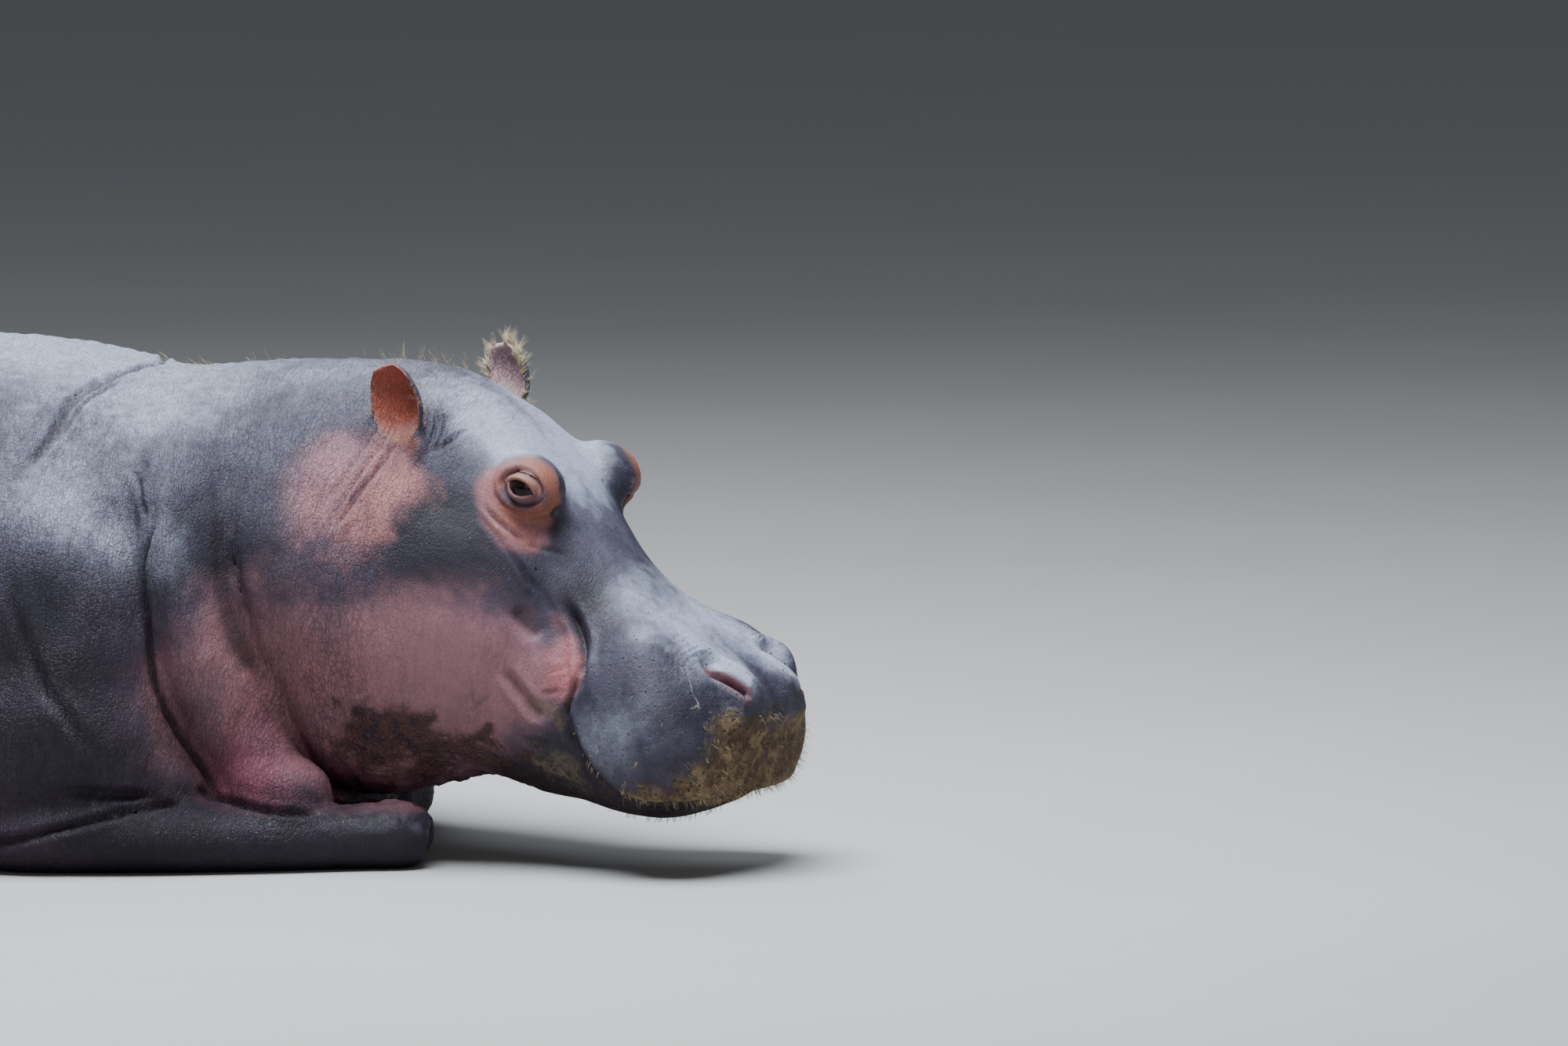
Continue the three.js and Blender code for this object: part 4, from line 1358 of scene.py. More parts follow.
MARKINGS: tuple[Marking, ...] = (
    # dusty pink of the cheek, jowl, roll and breast
    Marking("pink", head=(
        (300, -215, -90, 78, 0.85), (283, -220, -190, 90, 0.85), (374, -185, -139, 66, 0.85),
        (200, -251, -170, 80, 0.75), (120, -260, -200, 80, 0.6), (226, -240, -80, 60, 0.55),
        (350, -180, -60, 60, 0.6), (404, -176, -60, 46, 0.7), (186, -150, 130, 15, 0.7), (196, -162, 115, 17, 0.75),
        (216, -168, 102, 17, 0.8), (200, -150, 142, 15, 0.7), (236, -170, 90, 18, 0.75), (254, -165, 86, 18, 0.75),
        (272, -157, 86, 18, 0.75), (291, -143, 90, 18, 0.75), (270, -166, 76, 16, 0.55), (272, -150, 102, 15, 0.7),
        (292, -132, 103, 15, 0.65), (200, -144, 160, 15, 0.6), (218, -138, 177, 14, 0.45),
        (242, -134, 184, 14, 0.45), (283, -178, -291, 80, 0.8), (220, -197, -321, 80, 0.8),
        (330, -90, -300, 90, 0.8), (382, -153, -208, 56, 0.5), (433, -176, -97, 40, 0.6), (20, -250, -140, 70, 0.4),
        (30, -225, 40, 52, 0.6), (14, -244, 0, 54, 0.6), (20, -262, -36, 46, 0.7), (-20, -230, 40, 50, 0.55),
    ), body=(
        (960, -320, 300, 74, 0.9), (930, -360, 360, 60, 0.7), (900, -390, 300, 60, 0.75), (984, -320, 200, 90, 0.9),
        (879, -345, 200, 60, 0.5), (840, -404, 270, 50, 0.3), (833, -342, 167, 50, 0.3), (100, -620, 120, 180, 0.3),
        (-300, -600, 120, 180, 0.3), (-980, -60, 260, 140, 0.4), (640, -200, 20, 260, 0.4),
    ), ragged=0.17),
    # pale salmon behind the ear; under the eye, on the cheek, and on the neck's roll, painted highlights in pale
    # salmon
    Marking("salmon", head=(
        (60, -200, 72, 34, 0.55), (80, -214, 52, 34, 0.6), (92, -222, 26, 40, 0.6), (88, -244, 0, 44, 0.55),
        (84, -262, -34, 50, 0.4), (112, -200, 70, 30, 0.45), (30, -190, 84, 30, 0.5), (151, -268, -234, 70, 0.4),
        (230, -245, -190, 50, 0.25),
    ), body=((965, -330, 285, 56, 0.3),), ragged=0.4),
    Marking("magenta", head=(
        (409, -92, -238, 60, 0.4), (303, -73, -332, 70, 0.55), (240, -150, -350, 60, 0.5),
    ), body=(
        (990, -360, 150, 58, 0.75), (1013, -222, 89, 80, 0.9), (980, -330, 220, 56, 0.45),
        (940, -345, 140, 44, 0.6), (1040, -190, 60, 90, 0.8),
    ), ragged=0.12),
    # orange round the eye
    Marking("orange", head=(
        (262, -137, 172, 16, 0.75), (279, -131, 157, 17, 0.95), (286, -124, 139, 17, 0.95),
        (284, -127, 121, 15, 0.85), (236, -159, 107, 12, 0.85), (252, -153, 108, 13, 0.95),
        (267, -148, 116, 14, 0.95), (274, -142, 134, 14, 0.9), (246, -142, 180, 16, 0.7), (200, -150, 142, 22, 0.5),
        (218, -138, 177, 20, 0.55), (242, -134, 184, 20, 0.6), (196, -162, 115, 22, 0.45), (236, -170, 90, 22, 0.5),
        (272, -157, 86, 22, 0.5), (291, -143, 90, 20, 0.5), (262, -130, 182, 18, 0.6), (68, -185, 112, 14, 0.6),
        (78, -178, 104, 12, 0.5), (222, -148, 172, 12, 0.3), (218, -162, 112, 10, 0.5), (204, -154, 138, 10, 0.35),
    ), ragged=0.12),
    # raw red at the corner of the mouth
    Marking("red", head=(
        (446, -172, -30, 26, 0.8), (420, -170, -20, 22, 0.6), (468, -175, -34, 18, 0.8), (390, -158, 22, 16, 0.5),
        (424, -160, 6, 18, 0.65), (452, -166, -8, 17, 0.8), (446, -172, -56, 20, 0.6), (470, -172, -60, 14, 0.5),
    ), ragged=0.12),
    Marking("mud", head=(
        (722, -50, -10, 50, 0.85), (704, -104, -20, 46, 0.85), (713, -134, -60, 44, 0.9),
        (690, -165, -80, 40, 0.85), (690, -112, 34, 34, 0.7), (672, -130, 30, 26, 0.5), (716, -60, 40, 36, 0.7),
        (722, 0, 30, 40, 0.6), (660, -180, -104, 24, 0.75), (628, -186, -112, 16, 0.7), (596, -188, -116, 12, 0.6),
        (560, -186, -110, 10, 0.45), (726, 42, -53, 60, 0.9), (700, 120, -40, 50, 0.8), (735, 0, -70, 60, 0.9),
        (686, -140, -10, 30, 0.55), (700, -90, 20, 26, 0.5), (715, -20, 30, 26, 0.4), (520, -186, -96, 12, 0.4),
        (640, 150, -100, 40, 0.6),
    ), body=(
        (-300, -640, 60, 180, 0.5), (200, -650, 60, 200, 0.5), (-700, -560, 40, 160, 0.6), (760, -480, 10, 60, 0.4),
        (-1000, -100, 60, 120, 0.5),
    ), ragged=0.3),
    # bluish pale: painted sheen on the back, shoulder and neck, the crown, the snout, the sides of the muzzle and the
    # front of the knee, with a dusty bloom where the skin is dry
    Marking("pale", head=(
        (515, -60, 96, 56, 0.6), (470, 0, 98, 60, 0.4), (509, -140, 79, 26, 0.5), (436, -82, 89, 34, 0.35),
        (231, -25, 161, 50, 0.9), (160, -68, 171, 60, 0.85), (191, -43, 170, 50, 0.6), (260, -20, 153, 40, 0.5),
        (90, -61, 177, 50, 0.4), (24, -84, 160, 50, 0.4), (190, -112, 186, 26, 0.5), (560, -100, 90, 40, 0.4),
        (536, -5, 96, 70, 0.4), (430, 60, 96, 60, 0.3), (625, -64, 104, 22, 0.9), (655, -64, 102, 18, 0.9),
        (600, -66, 98, 18, 0.7), (610, -100, 84, 26, 0.5), (680, -66, 96, 16, 0.7), (590, 60, 100, 70, 0.5),
        (160, -110, 170, 50, 0.5), (120, -60, 190, 60, 0.5), (70, -60, 180, 70, 0.4), (210, -130, 178, 24, 0.6),
        (530, -190, -60, 60, 0.25), (640, -150, 20, 40, 0.2), (590, -200, -60, 60, 0.22), (586, -204, -25, 60, 0.3),
    ), body=(
        (625, -2, 740, 220, 0.75), (879, -61, 703, 140, 0.25), (1069, -108, 710, 110, 0.3),
        (800, -208, 657, 120, 0.35), (856, -420, 470, 60, 0.5), (1209, -300, 60, 16, 0.35),
        (250, -40, 750, 240, 0.6), (-200, 0, 740, 280, 0.6), (-600, 0, 690, 260, 0.6), (700, -400, 540, 90, 0.5),
        (760, -420, 500, 60, 0.35),
    ), ragged=0.2),
    # painted shade where the skin lies in shadow: the temple, the sides of the snout, the underside of the jaw and
    # lip, the shoulder and chest low down, and the forearm under the neck's roll
    Marking("dark", head=(
        (189, -220, 40, 56, 0.80), (186, -234, 11, 60, 0.60), (442, -33, 103, 34, 0.60), (397, -117, 66, 40, 0.70),
        (-101, -272, -78, 50, 0.30), (397, -117, 66, 40, 0.8), (459, -136, 52, 36, 0.75), (364, -107, 83, 24, 0.35),
        (328, -159, 48, 30, 0.5), (481, -100, -216, 60, 0.8), (541, -132, -165, 60, 0.85),
        (672, -120, -121, 60, 0.7), (139, -230, 33, 50, 0.8), (174, -212, 56, 36, 0.8), (223, -198, 61, 44, 0.8),
        (218, -230, 5, 60, 0.85), (283, -190, 40, 50, 0.75), (176, -194, 83, 32, 0.6), (170, -240, -10, 60, 0.7),
        (356, -172, 40, 30, 0.5), (340, -178, 0, 30, 0.5), (566, -199, 2, 70, 0.2), (577, -202, -50, 60, 0.1),
        (621, -181, 39, 50, 0.4), (485, -126, -179, 66, 0.8), (567, -113, -177, 76, 0.9),
        (502, -150, -135, 50, 0.7), (640, -80, -170, 90, 0.9), (560, 0, -200, 100, 0.9), (440, 0, -240, 90, 0.6),
        (300, -108, 116, 16, 0.9), (298, -100, 140, 12, 0.9), (300, -84, 125, 14, 0.7), (325, -115, 97, 22, 0.6),
        (0, -200, -100, 70, 0.35), (-30, -250, -120, 80, 0.4), (330, -160, 92, 26, 0.4),
    ), body=(
        (723, -458, 155, 90, 0.7), (766, -430, 116, 80, 0.75), (748, -460, 212, 80, 0.6), (706, -475, 270, 90, 0.6),
        (600, -480, 150, 150, 0.7), (744, -442, 415, 120, 0.3), (856, -424, 430, 90, 0.15),
        (705, -471, 303, 110, 0.6), (789, -389, 470, 80, 0.4), (927, -340, 440, 80, 0.5), (892, -383, 440, 70, 0.3),
        (640, -500, 300, 140, 0.6), (915, -435, 43, 90, 0.9), (807, -467, 39, 80, 0.7), (1020, -389, 60, 90, 1.0),
        (1073, -369, 39, 100, 1.0), (1150, -340, 40, 100, 1.0), (1189, -319, 44, 60, 0.9),
        (833, -342, 150, 70, 0.6), (870, -330, 110, 60, 0.9), (861, -451, 44, 90, 0.7), (967, -412, 30, 100, 0.8),
        (760, -470, 50, 110, 0.6), (1100, -340, 30, 100, 0.7), (1000, -250, 30, 160, 0.6),
    ), ragged=0.2),
    # brown warty grime under the jowl
    Marking("grime", head=(
        (278, -209, -236, 40, 0.9), (310, -190, -255, 40, 0.9), (246, -215, -255, 40, 0.85),
        (340, -170, -262, 44, 0.8), (290, -200, -300, 46, 0.8), (240, -215, -310, 40, 0.7),
        (382, -150, -245, 40, 0.75), (470, -165, -110, 20, 0.5), (330, -120, -300, 60, 0.7),
        (420, -120, -220, 40, 0.6), (478, -168, -80, 16, 0.5), (481, -90, -216, 50, 0.8),
        (520, -110, -180, 60, 0.7), (596, -136, -153, 60, 0.8), (660, -120, -130, 50, 0.7),
        (440, -100, -230, 50, 0.6), (640, 0, -170, 90, 0.7),
    ), ragged=0.5),
    # dried brown earth in the wrinkles of the lower lip
    Marking("earth", head=(
        (468, -160, -72, 22, 0.7), (450, -168, -88, 22, 0.6), (478, -146, -110, 26, 0.7),
        (500, -140, -140, 34, 0.7), (540, -135, -150, 40, 0.6), (455, -150, -130, 26, 0.6),
        (430, -165, -84, 18, 0.4), (393, -130, -228, 40, 0.4), (640, -176, -10, 50, 0.2), (610, -200, -70, 50, 0.2),
    ), ragged=0.4),
)


# the attributes that carry the markings, the painted shade of the folds and the facing for painted sheen and shade,
# three to each
LAYERS: dict[str, tuple[str, str, str]] = {
    "marks_f": ("lid", "scar", "earth"), "marks_a": ("pink", "magenta", "orange"), "marks_b": ("mud", "pale", "dark"),
    "marks_c": ("fold", "up", "face"), "marks_d": ("salmon", "red", "grime"), "marks_e": ("cup", "blush", "raw"),
}

# pale scratches on the right side of the muzzle, with their strength
SCARS: tuple[tuple[tuple[Triple, ...], float], ...] = (
    (((536, -184, 31), (546, -189, 25), (560, -194, 16)), 1.0),
    (((577, -135, 82), (594, -144, 74), (608, -143, 70), (625, -151, 60), (642, -148, 50), (638, -168, 43)), 0.55),
    (((622, -103, 84), (639, -102, 71), (662, -103, 52)), 0.5),
    (((653, -133, 49), (640, -150, 48), (628, -160, 50)), 0.4),
)


# ---------- the skin


def spine_grain(points: Points) -> Points:
    """Coordinates that follow the body: along the spine, across it and up, running smoothly into the head.

    Args:
        points: places in the model.

    Returns:
        One row for each place: metres along the spine, and the place across it.
    """
    head = HEAD.read(points)
    share = smooth((points[:, 0] * 0.5 + head[:, 0] * 0.5 + 0.55), 0.93, 1.16)
    along_head = 1.10 + head[:, 0] + 0.35 * head[:, 2]
    u = points[:, 0] * (1 - share) + along_head * share
    across = points[:, 1:] * (1 - share)[:, None] + (head[:, 1:] + (0, 0.45)) * share[:, None]
    return np.column_stack([u, across])


LEVELS = 60         # steps of weight by which the skin is thinned
# where limbs and tail run into the trunk: middle and reach, in metres
JOINS: tuple[tuple[Triple, Triple], ...] = (
    ((-0.62, 0, 0.33), (0.42, 1.4, 0.30)),  # haunch
    ((0.60, 0, 0.26), (0.22, 1.4, 0.20)),   # elbow
    ((-1.0, 0, 0.45), (0.14, 0.2, 0.25)),   # tail
)


def off_eye_and_nostril(head: Points) -> tuple[Points, Points]:
    """Distances in the head's frame to the nearer eye, seen from its side, and to the nearer nostril."""
    x, y, z = folded(head).T
    eye = np.where(y > 0.09, np.hypot(x - 0.246, z - 0.146), np.inf)
    return eye, np.linalg.norm(folded(head) - (0.634, 0.078, 0.094), axis=1)


@dataclass
class Skin:
    """The one skin over all the flesh.

    Attributes:
        flesh: the forms it is made over.
        voxel: the grain of the remesh, in metres.
        budget: the most triangles it may have.
    """

    flesh: Flesh
    voxel: float = 0.005
    budget: int = 192_000
    nodes: tuple[str, ...] = (
        "trunk", "neck", "head", "lower_jaw", "ear_right", "ear_left", "foreleg_right", "foreleg_left",
        "hindleg_right", "hindleg_left", "tail",
    )
    cavity: Points = field(default_factory=lambda: np.zeros(0))

    def joined(self) -> bpy.types.Object:
        """Every form of flesh in one mesh, remeshed into one closed surface."""
        corners: list[Points] = []
        faces: list[list[int]] = []
        gone = 0
        for form in self.flesh.all_forms():
            corners.append(np.asarray(form.corners, float) * MM)
            faces += [[int(i) + gone for i in face] for face in form.faces]
            gone += len(form.corners)
        skin = piece_of("skin", np.vstack(corners), faces)
        apply_modifier(skin, "REMESH", mode="VOXEL", voxel_size=self.voxel, adaptivity=0.0)
        self.keep_largest(skin)
        return skin

    @staticmethod
    def keep_largest(skin: bpy.types.Object) -> None:
        """Drops every island but the largest."""
        edges = edges_of(skin)
        label = np.arange(len(skin.data.vertices))
        while True:
            low = np.minimum(label[edges[:, 0]], label[edges[:, 1]])
            fresh = label.copy()
            np.minimum.at(fresh, edges[:, 0], low)
            np.minimum.at(fresh, edges[:, 1], low)
            fresh = fresh[fresh]
            if (fresh == label).all():
                break
            label = fresh
        kept = label == np.bincount(label).argmax()
        if not kept.all():
            edit(skin, bpy.ops.mesh.delete, ~kept, type="VERT")

    @staticmethod
    def softened(skin: bpy.types.Object) -> None:
        """Smooths the remesh, and more where one form runs into another."""
        points, edges = corners_of(skin), edges_of(skin)
        head = HEAD.read(points)
        ear = (np.abs(head[:, 1]) > 0.165) & (head[:, 0] > -0.06) & (head[:, 0] < 0.12) & (head[:, 2] > -0.05)
        points = relax(points, edges, np.where(ear, 0.42, np.where(points[:, 2] < 0.03, 0.35, 0.5)), 8)
        joins = np.max([blob(points, *join) for join in JOINS], axis=0)
        joins *= (np.abs(points[:, 1]) > 0.25) | (points[:, 0] < -0.9)
        joins *= smooth(points[:, 2], 0.05, 0.12)
        points = relax(points, edges, np.clip(joins, 0, 1) * 0.6, 60)
        valley = bell((head[:, 0] + head[:, 2] + 0.19) / math.sqrt(2), 0.035) * smooth(-head[:, 2], -0.02, 0.05)
        points = relax(points, edges, valley * smooth(points[:, 2], 0.2, 0.3) * 0.6, 26)
        neck = bell(points[:, 0] - 0.86, 0.10) * smooth(points[:, 2], 0.03, 0.1)
        brow = blob(head, (0.215, 0, 0.135), (0.085, 0.13, 0.075))
        wrist = blob(points, (1.10, -0.28, 0.05), (0.10, 0.16, 0.09))
        points = relax(points, edges, np.clip(neck * 0.5 + brow * 0.5 + wrist * 0.5, 0, 0.6), 22)
        set_corners(skin, points)

    @staticmethod
    def refined(skin: bpy.types.Object) -> None:
        """Divides the faces finely where small shapes come: eyes, nostrils, ears and mouth."""
        for reach, widely in ((1.0, True), (0.72, False)):
            head = HEAD.read(corners_of(skin))
            x, y, z = folded(head).T
            eye, nose = off_eye_and_nostril(head)
            chosen = (eye < 0.060 * reach) | (nose < 0.075 * reach)
            if widely:
                chosen |= (x > 0.0) & (x < 0.125) & (y > 0.12) & (z > -0.1)
                chosen |= (x > 0.27) & (x < 0.76) & (z > -0.15) & (z < 0.07) & (y > 0.0)
            edit(skin, bpy.ops.mesh.subdivide, chosen, "FACE", number_cuts=1, smoothness=0)

    def carved(self, skin: bpy.types.Object) -> None:
        """Gives the skin its folds, lids, nostrils, mouth and wrinkles."""
        surface = Surface(corners_of(skin), normals_of(skin))
        edges = edges_of(skin)

        def renewed() -> None:
            """Moves the mesh to the carved places and reads its normals again."""
            set_corners(skin, surface.points)
            surface.normals = normals_of(skin)

        for mound in MOUNDS:
            mound.press(surface)
        low = surface.points
        surface.push(MM * (2.6 * noise(low, 0.30, 11) + 1.3 * noise(low, 0.11, 12)) * smooth(low[:, 2], 0.02, 0.1))
        renewed()
        JowlFold().carve(surface)
        Mouth().carve(surface)
        renewed()
        for crease in CREASES:
            crease.press(surface)
        renewed()
        Nostril().carve(surface)
        renewed()
        Nostril().cut(surface)
        cup, rim = self.ear_inside(surface.head, HEAD.read_aim(surface.normals))
        surface.push((-1.5 * cup + 1.0 * rim) * MM)
        EYE.carve(surface)
        renewed()
        for furrows in FURROWS:
            furrows.press(surface)
        self.wrinkled(surface)
        surface.points = relax(surface.points, edges, 0.18, 1)
        set_corners(skin, surface.points)
        self.cavity = surface.cavity

    @staticmethod
    def wrinkled(surface: Surface) -> None:
        """Lays long fine wrinkles round the neck and flank, and warts under the jowl."""
        grain = spine_grain(surface.points)
        head = surface.head
        lines = noise(grain * (1, 0.28, 0.28), 0.026, 21) + 0.6 * noise(grain * (1, 0.22, 0.22), 0.014, 22)
        ring = bell(grain[:, 0] - 0.80, 0.26) + 0.5 * bell(grain[:, 0] - 1.2, 0.12)
        ring += 0.35 * bell(grain[:, 0] - 0.35, 0.35) + 0.25
        ring *= smooth(surface.points[:, 2], 0.02, 0.08)
        plain = 1 - smooth(head[:, 0], 0.10, 0.24)
        surface.push(lines * ring * plain * 0.0011)
        warts = noise(surface.points, 0.030, 31) * 0.0036 + noise(surface.points, 0.014, 32) * 0.0020
        surface.push(warts * blob(head, (0.30, 0, -0.31), (0.15, 0.24, 0.12)))

    def thinned(self, skin: bpy.types.Object) -> None:
        """Thins the skin to its budget, and leaves it dense where the detail is."""
        points = corners_of(skin)
        head, grain = HEAD.read(points), spine_grain(points)
        spacing = np.full(len(points), 17.0) - 7.0 * bell(grain[:, 0] - 0.86, 0.22)
        front = smooth(grain[:, 0], 0.98, 1.08)
        spacing = spacing * (1 - front) + 5.6 * front
        eye, nose = off_eye_and_nostril(head)
        fine = np.maximum(bell(eye, 0.050), bell(nose, 0.055) * 0.8)
        spacing = np.minimum(spacing, 5.6 - 3.8 * fine + 20 * (1 - front))
        for line, _ in SCARS:
            spacing -= 3.2 * bell(away_from_line(head, np.array(line) * MM)[0], 0.006)
        spacing = np.where(points[:, 2] < 0.012, 26.0, spacing)
        group = skin.vertex_groups.new(name="fine")
        levels = np.round(np.clip(1 - 1.7 / spacing, 0, 1) * LEVELS).astype(int)
        for level in np.unique(levels):
            group.add(np.nonzero(levels == level)[0].tolist(), level / LEVELS, "REPLACE")
        faces = sum(len(p.vertices) - 2 for p in skin.data.polygons)
        apply_modifier(
            skin, "DECIMATE", ratio=min(1.0, self.budget / faces), use_collapse_triangulate=True,
            vertex_group="fine", vertex_group_factor=0.004,
        )
        skin.vertex_groups.clear()

    def coloured(self, skin: bpy.types.Object, dense: Points) -> None:
        """Writes the attributes that the finish reads, and takes the painted shade of the folds from the dense skin's
        places.

        Args:
            skin: the thinned skin.
            dense: the corners of the skin before it was thinned.
        """
        points, normals = corners_of(skin), normals_of(skin)
        tree = kdtree.KDTree(len(dense))
        for i, place in enumerate(dense.tolist()):
            tree.insert(place, i)
        tree.balance()
        nearest = np.array([tree.find(p)[1] for p in points.tolist()])
        head = HEAD.read(points)
        layers = {marking.name: marking.read(points, head) for marking in MARKINGS}
        layers["fold"] = self.cavity[nearest]
        over = np.where(points[:, 0] > 0.75, smooth(points[:, 2], 0.070, 0.086), 1.0)
        layers["pink"] *= over
        layers["magenta"] *= over
        u, v = head[:, 0] / MM - EYE.at[0], head[:, 2] / MM - EYE.at[2]
        ring = np.nonzero((np.hypot(u, v) < 60) & (np.abs(head[:, 1]) > 0.1))[0]
        edge, above = EYE.edge(u[ring], v[ring]), smooth(v[ring] - EYE.tilt * u[ring], -3, 4)
        layers["lid"] = np.zeros(len(head))
        layers["lid"][ring] = (1 - smooth(edge, 8, 13)) * (0.6 + 0.4 * above)
        layers["orange"][ring] *= 1 - 0.85 * bell(edge - 5, 7)
        # painted sheen on top-facing skin and painted shade on down-facing skin follow this facing
        layers["up"] = smooth(normals[:, 2], 0.35, 1.0) - smooth(-normals[:, 2], 0.0, 0.8)
        # the painted sheen and the painted shade are kept off the lids
        for name, start, end in (("pale", 18, 44), ("dark", 14, 26), ("up", 18, 44)):
            layers[name][ring] *= smooth(edge, start, end)
        layers["face"] = smooth(head[:, 0], 0.36, 0.50)
        hollow, _ = self.ear_inside(head, HEAD.read_aim(normals))
        layers["cup"], layers["blush"] = hollow * (head[:, 1] < 0), hollow * (head[:, 1] > 0) / FAINT
        slit = np.array(Nostril().slit) * MM * (1, -1, 1)
        layers["raw"] = bell(away_from_line(folded(head), slit)[0], 0.0078)
        layers["scar"] = sum(
            strength * bell(away_from_line(head, np.array(line) * MM)[0], 0.0021) for line, strength in SCARS)
        for name, parts in LAYERS.items():
            write_attribute(skin, name, np.column_stack([layers[p] for p in parts]))
        write_attribute(skin, "grain", spine_grain(points))

    @staticmethod
    def ear_inside(head: Points, aims: Points) -> tuple[Points, Points]:
        """How far each place is inside the hollow of an ear, and how far on its rim.

        Args:
            head: places in the head's frame.
            aims: the skin's directions there.

        Returns:
            Two shares from 0 to 1.
        """
        cup, rim = np.zeros(len(head)), np.zeros(len(head))
        for side, ear in EARS.items():
            facing = ear.axes(side)[2]
            a, b, c, leaf = ear.read(side, head)
            near = (a > 0.0) & (a < 1.2) & (np.abs(b) < 1.3) & (c > -22) & (c < 30)
            inward = smooth(aims @ facing, -0.15, 0.45)
            level = FAINT if side is Side.LEFT else 0.5 + 0.5 * smooth(a, 0.14, 0.42)
            cup = np.maximum(cup, near * inward * (1 - smooth(leaf, 0.86, 1.02)) * level)
            rim = np.maximum(rim, near * smooth(leaf, 0.80, 0.98) * (a > 0.1))
        return cup, rim

    def build(self) -> bpy.types.Object:
        """The finished skin."""
        skin = self.joined()
        LOG.info("remeshed skin: %d corners", len(skin.data.vertices))
        self.softened(skin)
        self.refined(skin)
        self.carved(skin)
        dense = corners_of(skin)
        LOG.info("carved skin: %d corners", len(dense))
        self.thinned(skin)
        rested = corners_of(skin)
        rested[:, 2] = np.maximum(rested[:, 2], 0.0)
        set_corners(skin, rested)
        self.coloured(skin, dense)
        dress(skin, SkinFinish().material())
        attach(skin, "root")
        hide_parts(*self.nodes)
        return skin


# ---------- shader sums


Number = Any


def operator(kind: str, second: bool = False) -> Callable[["Signal", Number], "Signal"]:
    """One of a signal's operators.

    Args:
        kind: the Math node's operation.
        second: whether the signal is the second of the two values.

    Returns:
        The operator's method.
    """
    def method(self: "Signal", other: Number) -> "Signal":
        """A Math node over the signal and another value."""
        return self.graph.sum(kind, *((other, self) if second else (self, other)))
    return method


class Signal:
    """A shader socket that takes part in sums as a number does."""

    __add__, __radd__ = operator("ADD"), operator("ADD", True)
    __sub__, __rsub__ = operator("SUBTRACT"), operator("SUBTRACT", True)
    __mul__, __rmul__ = operator("MULTIPLY"), operator("MULTIPLY", True)
    __pow__ = operator("POWER")

    def __init__(self, graph: "Graph", socket: bpy.types.NodeSocket) -> None:
        """Keeps the socket and the graph it belongs to."""
        self.graph, self.socket = graph, socket

    def __neg__(self) -> "Signal":
        """The signal turned over."""
        return self * -1.0

    def clamped(self) -> "Signal":
        """The signal held between 0 and 1."""
        return self.graph.sum("ADD", self, 0.0, clamp=True)

    def step(self, start: float, end: float) -> "Signal":
        """A smooth step from 0 at start to 1 at end."""
        return self.graph.node(
            "ShaderNodeMapRange", {"interpolation_type": "SMOOTHSTEP"},
            {"Value": self, "From Min": start, "From Max": end, "To Min": 0.0, "To Max": 1.0},
        )["Result"]


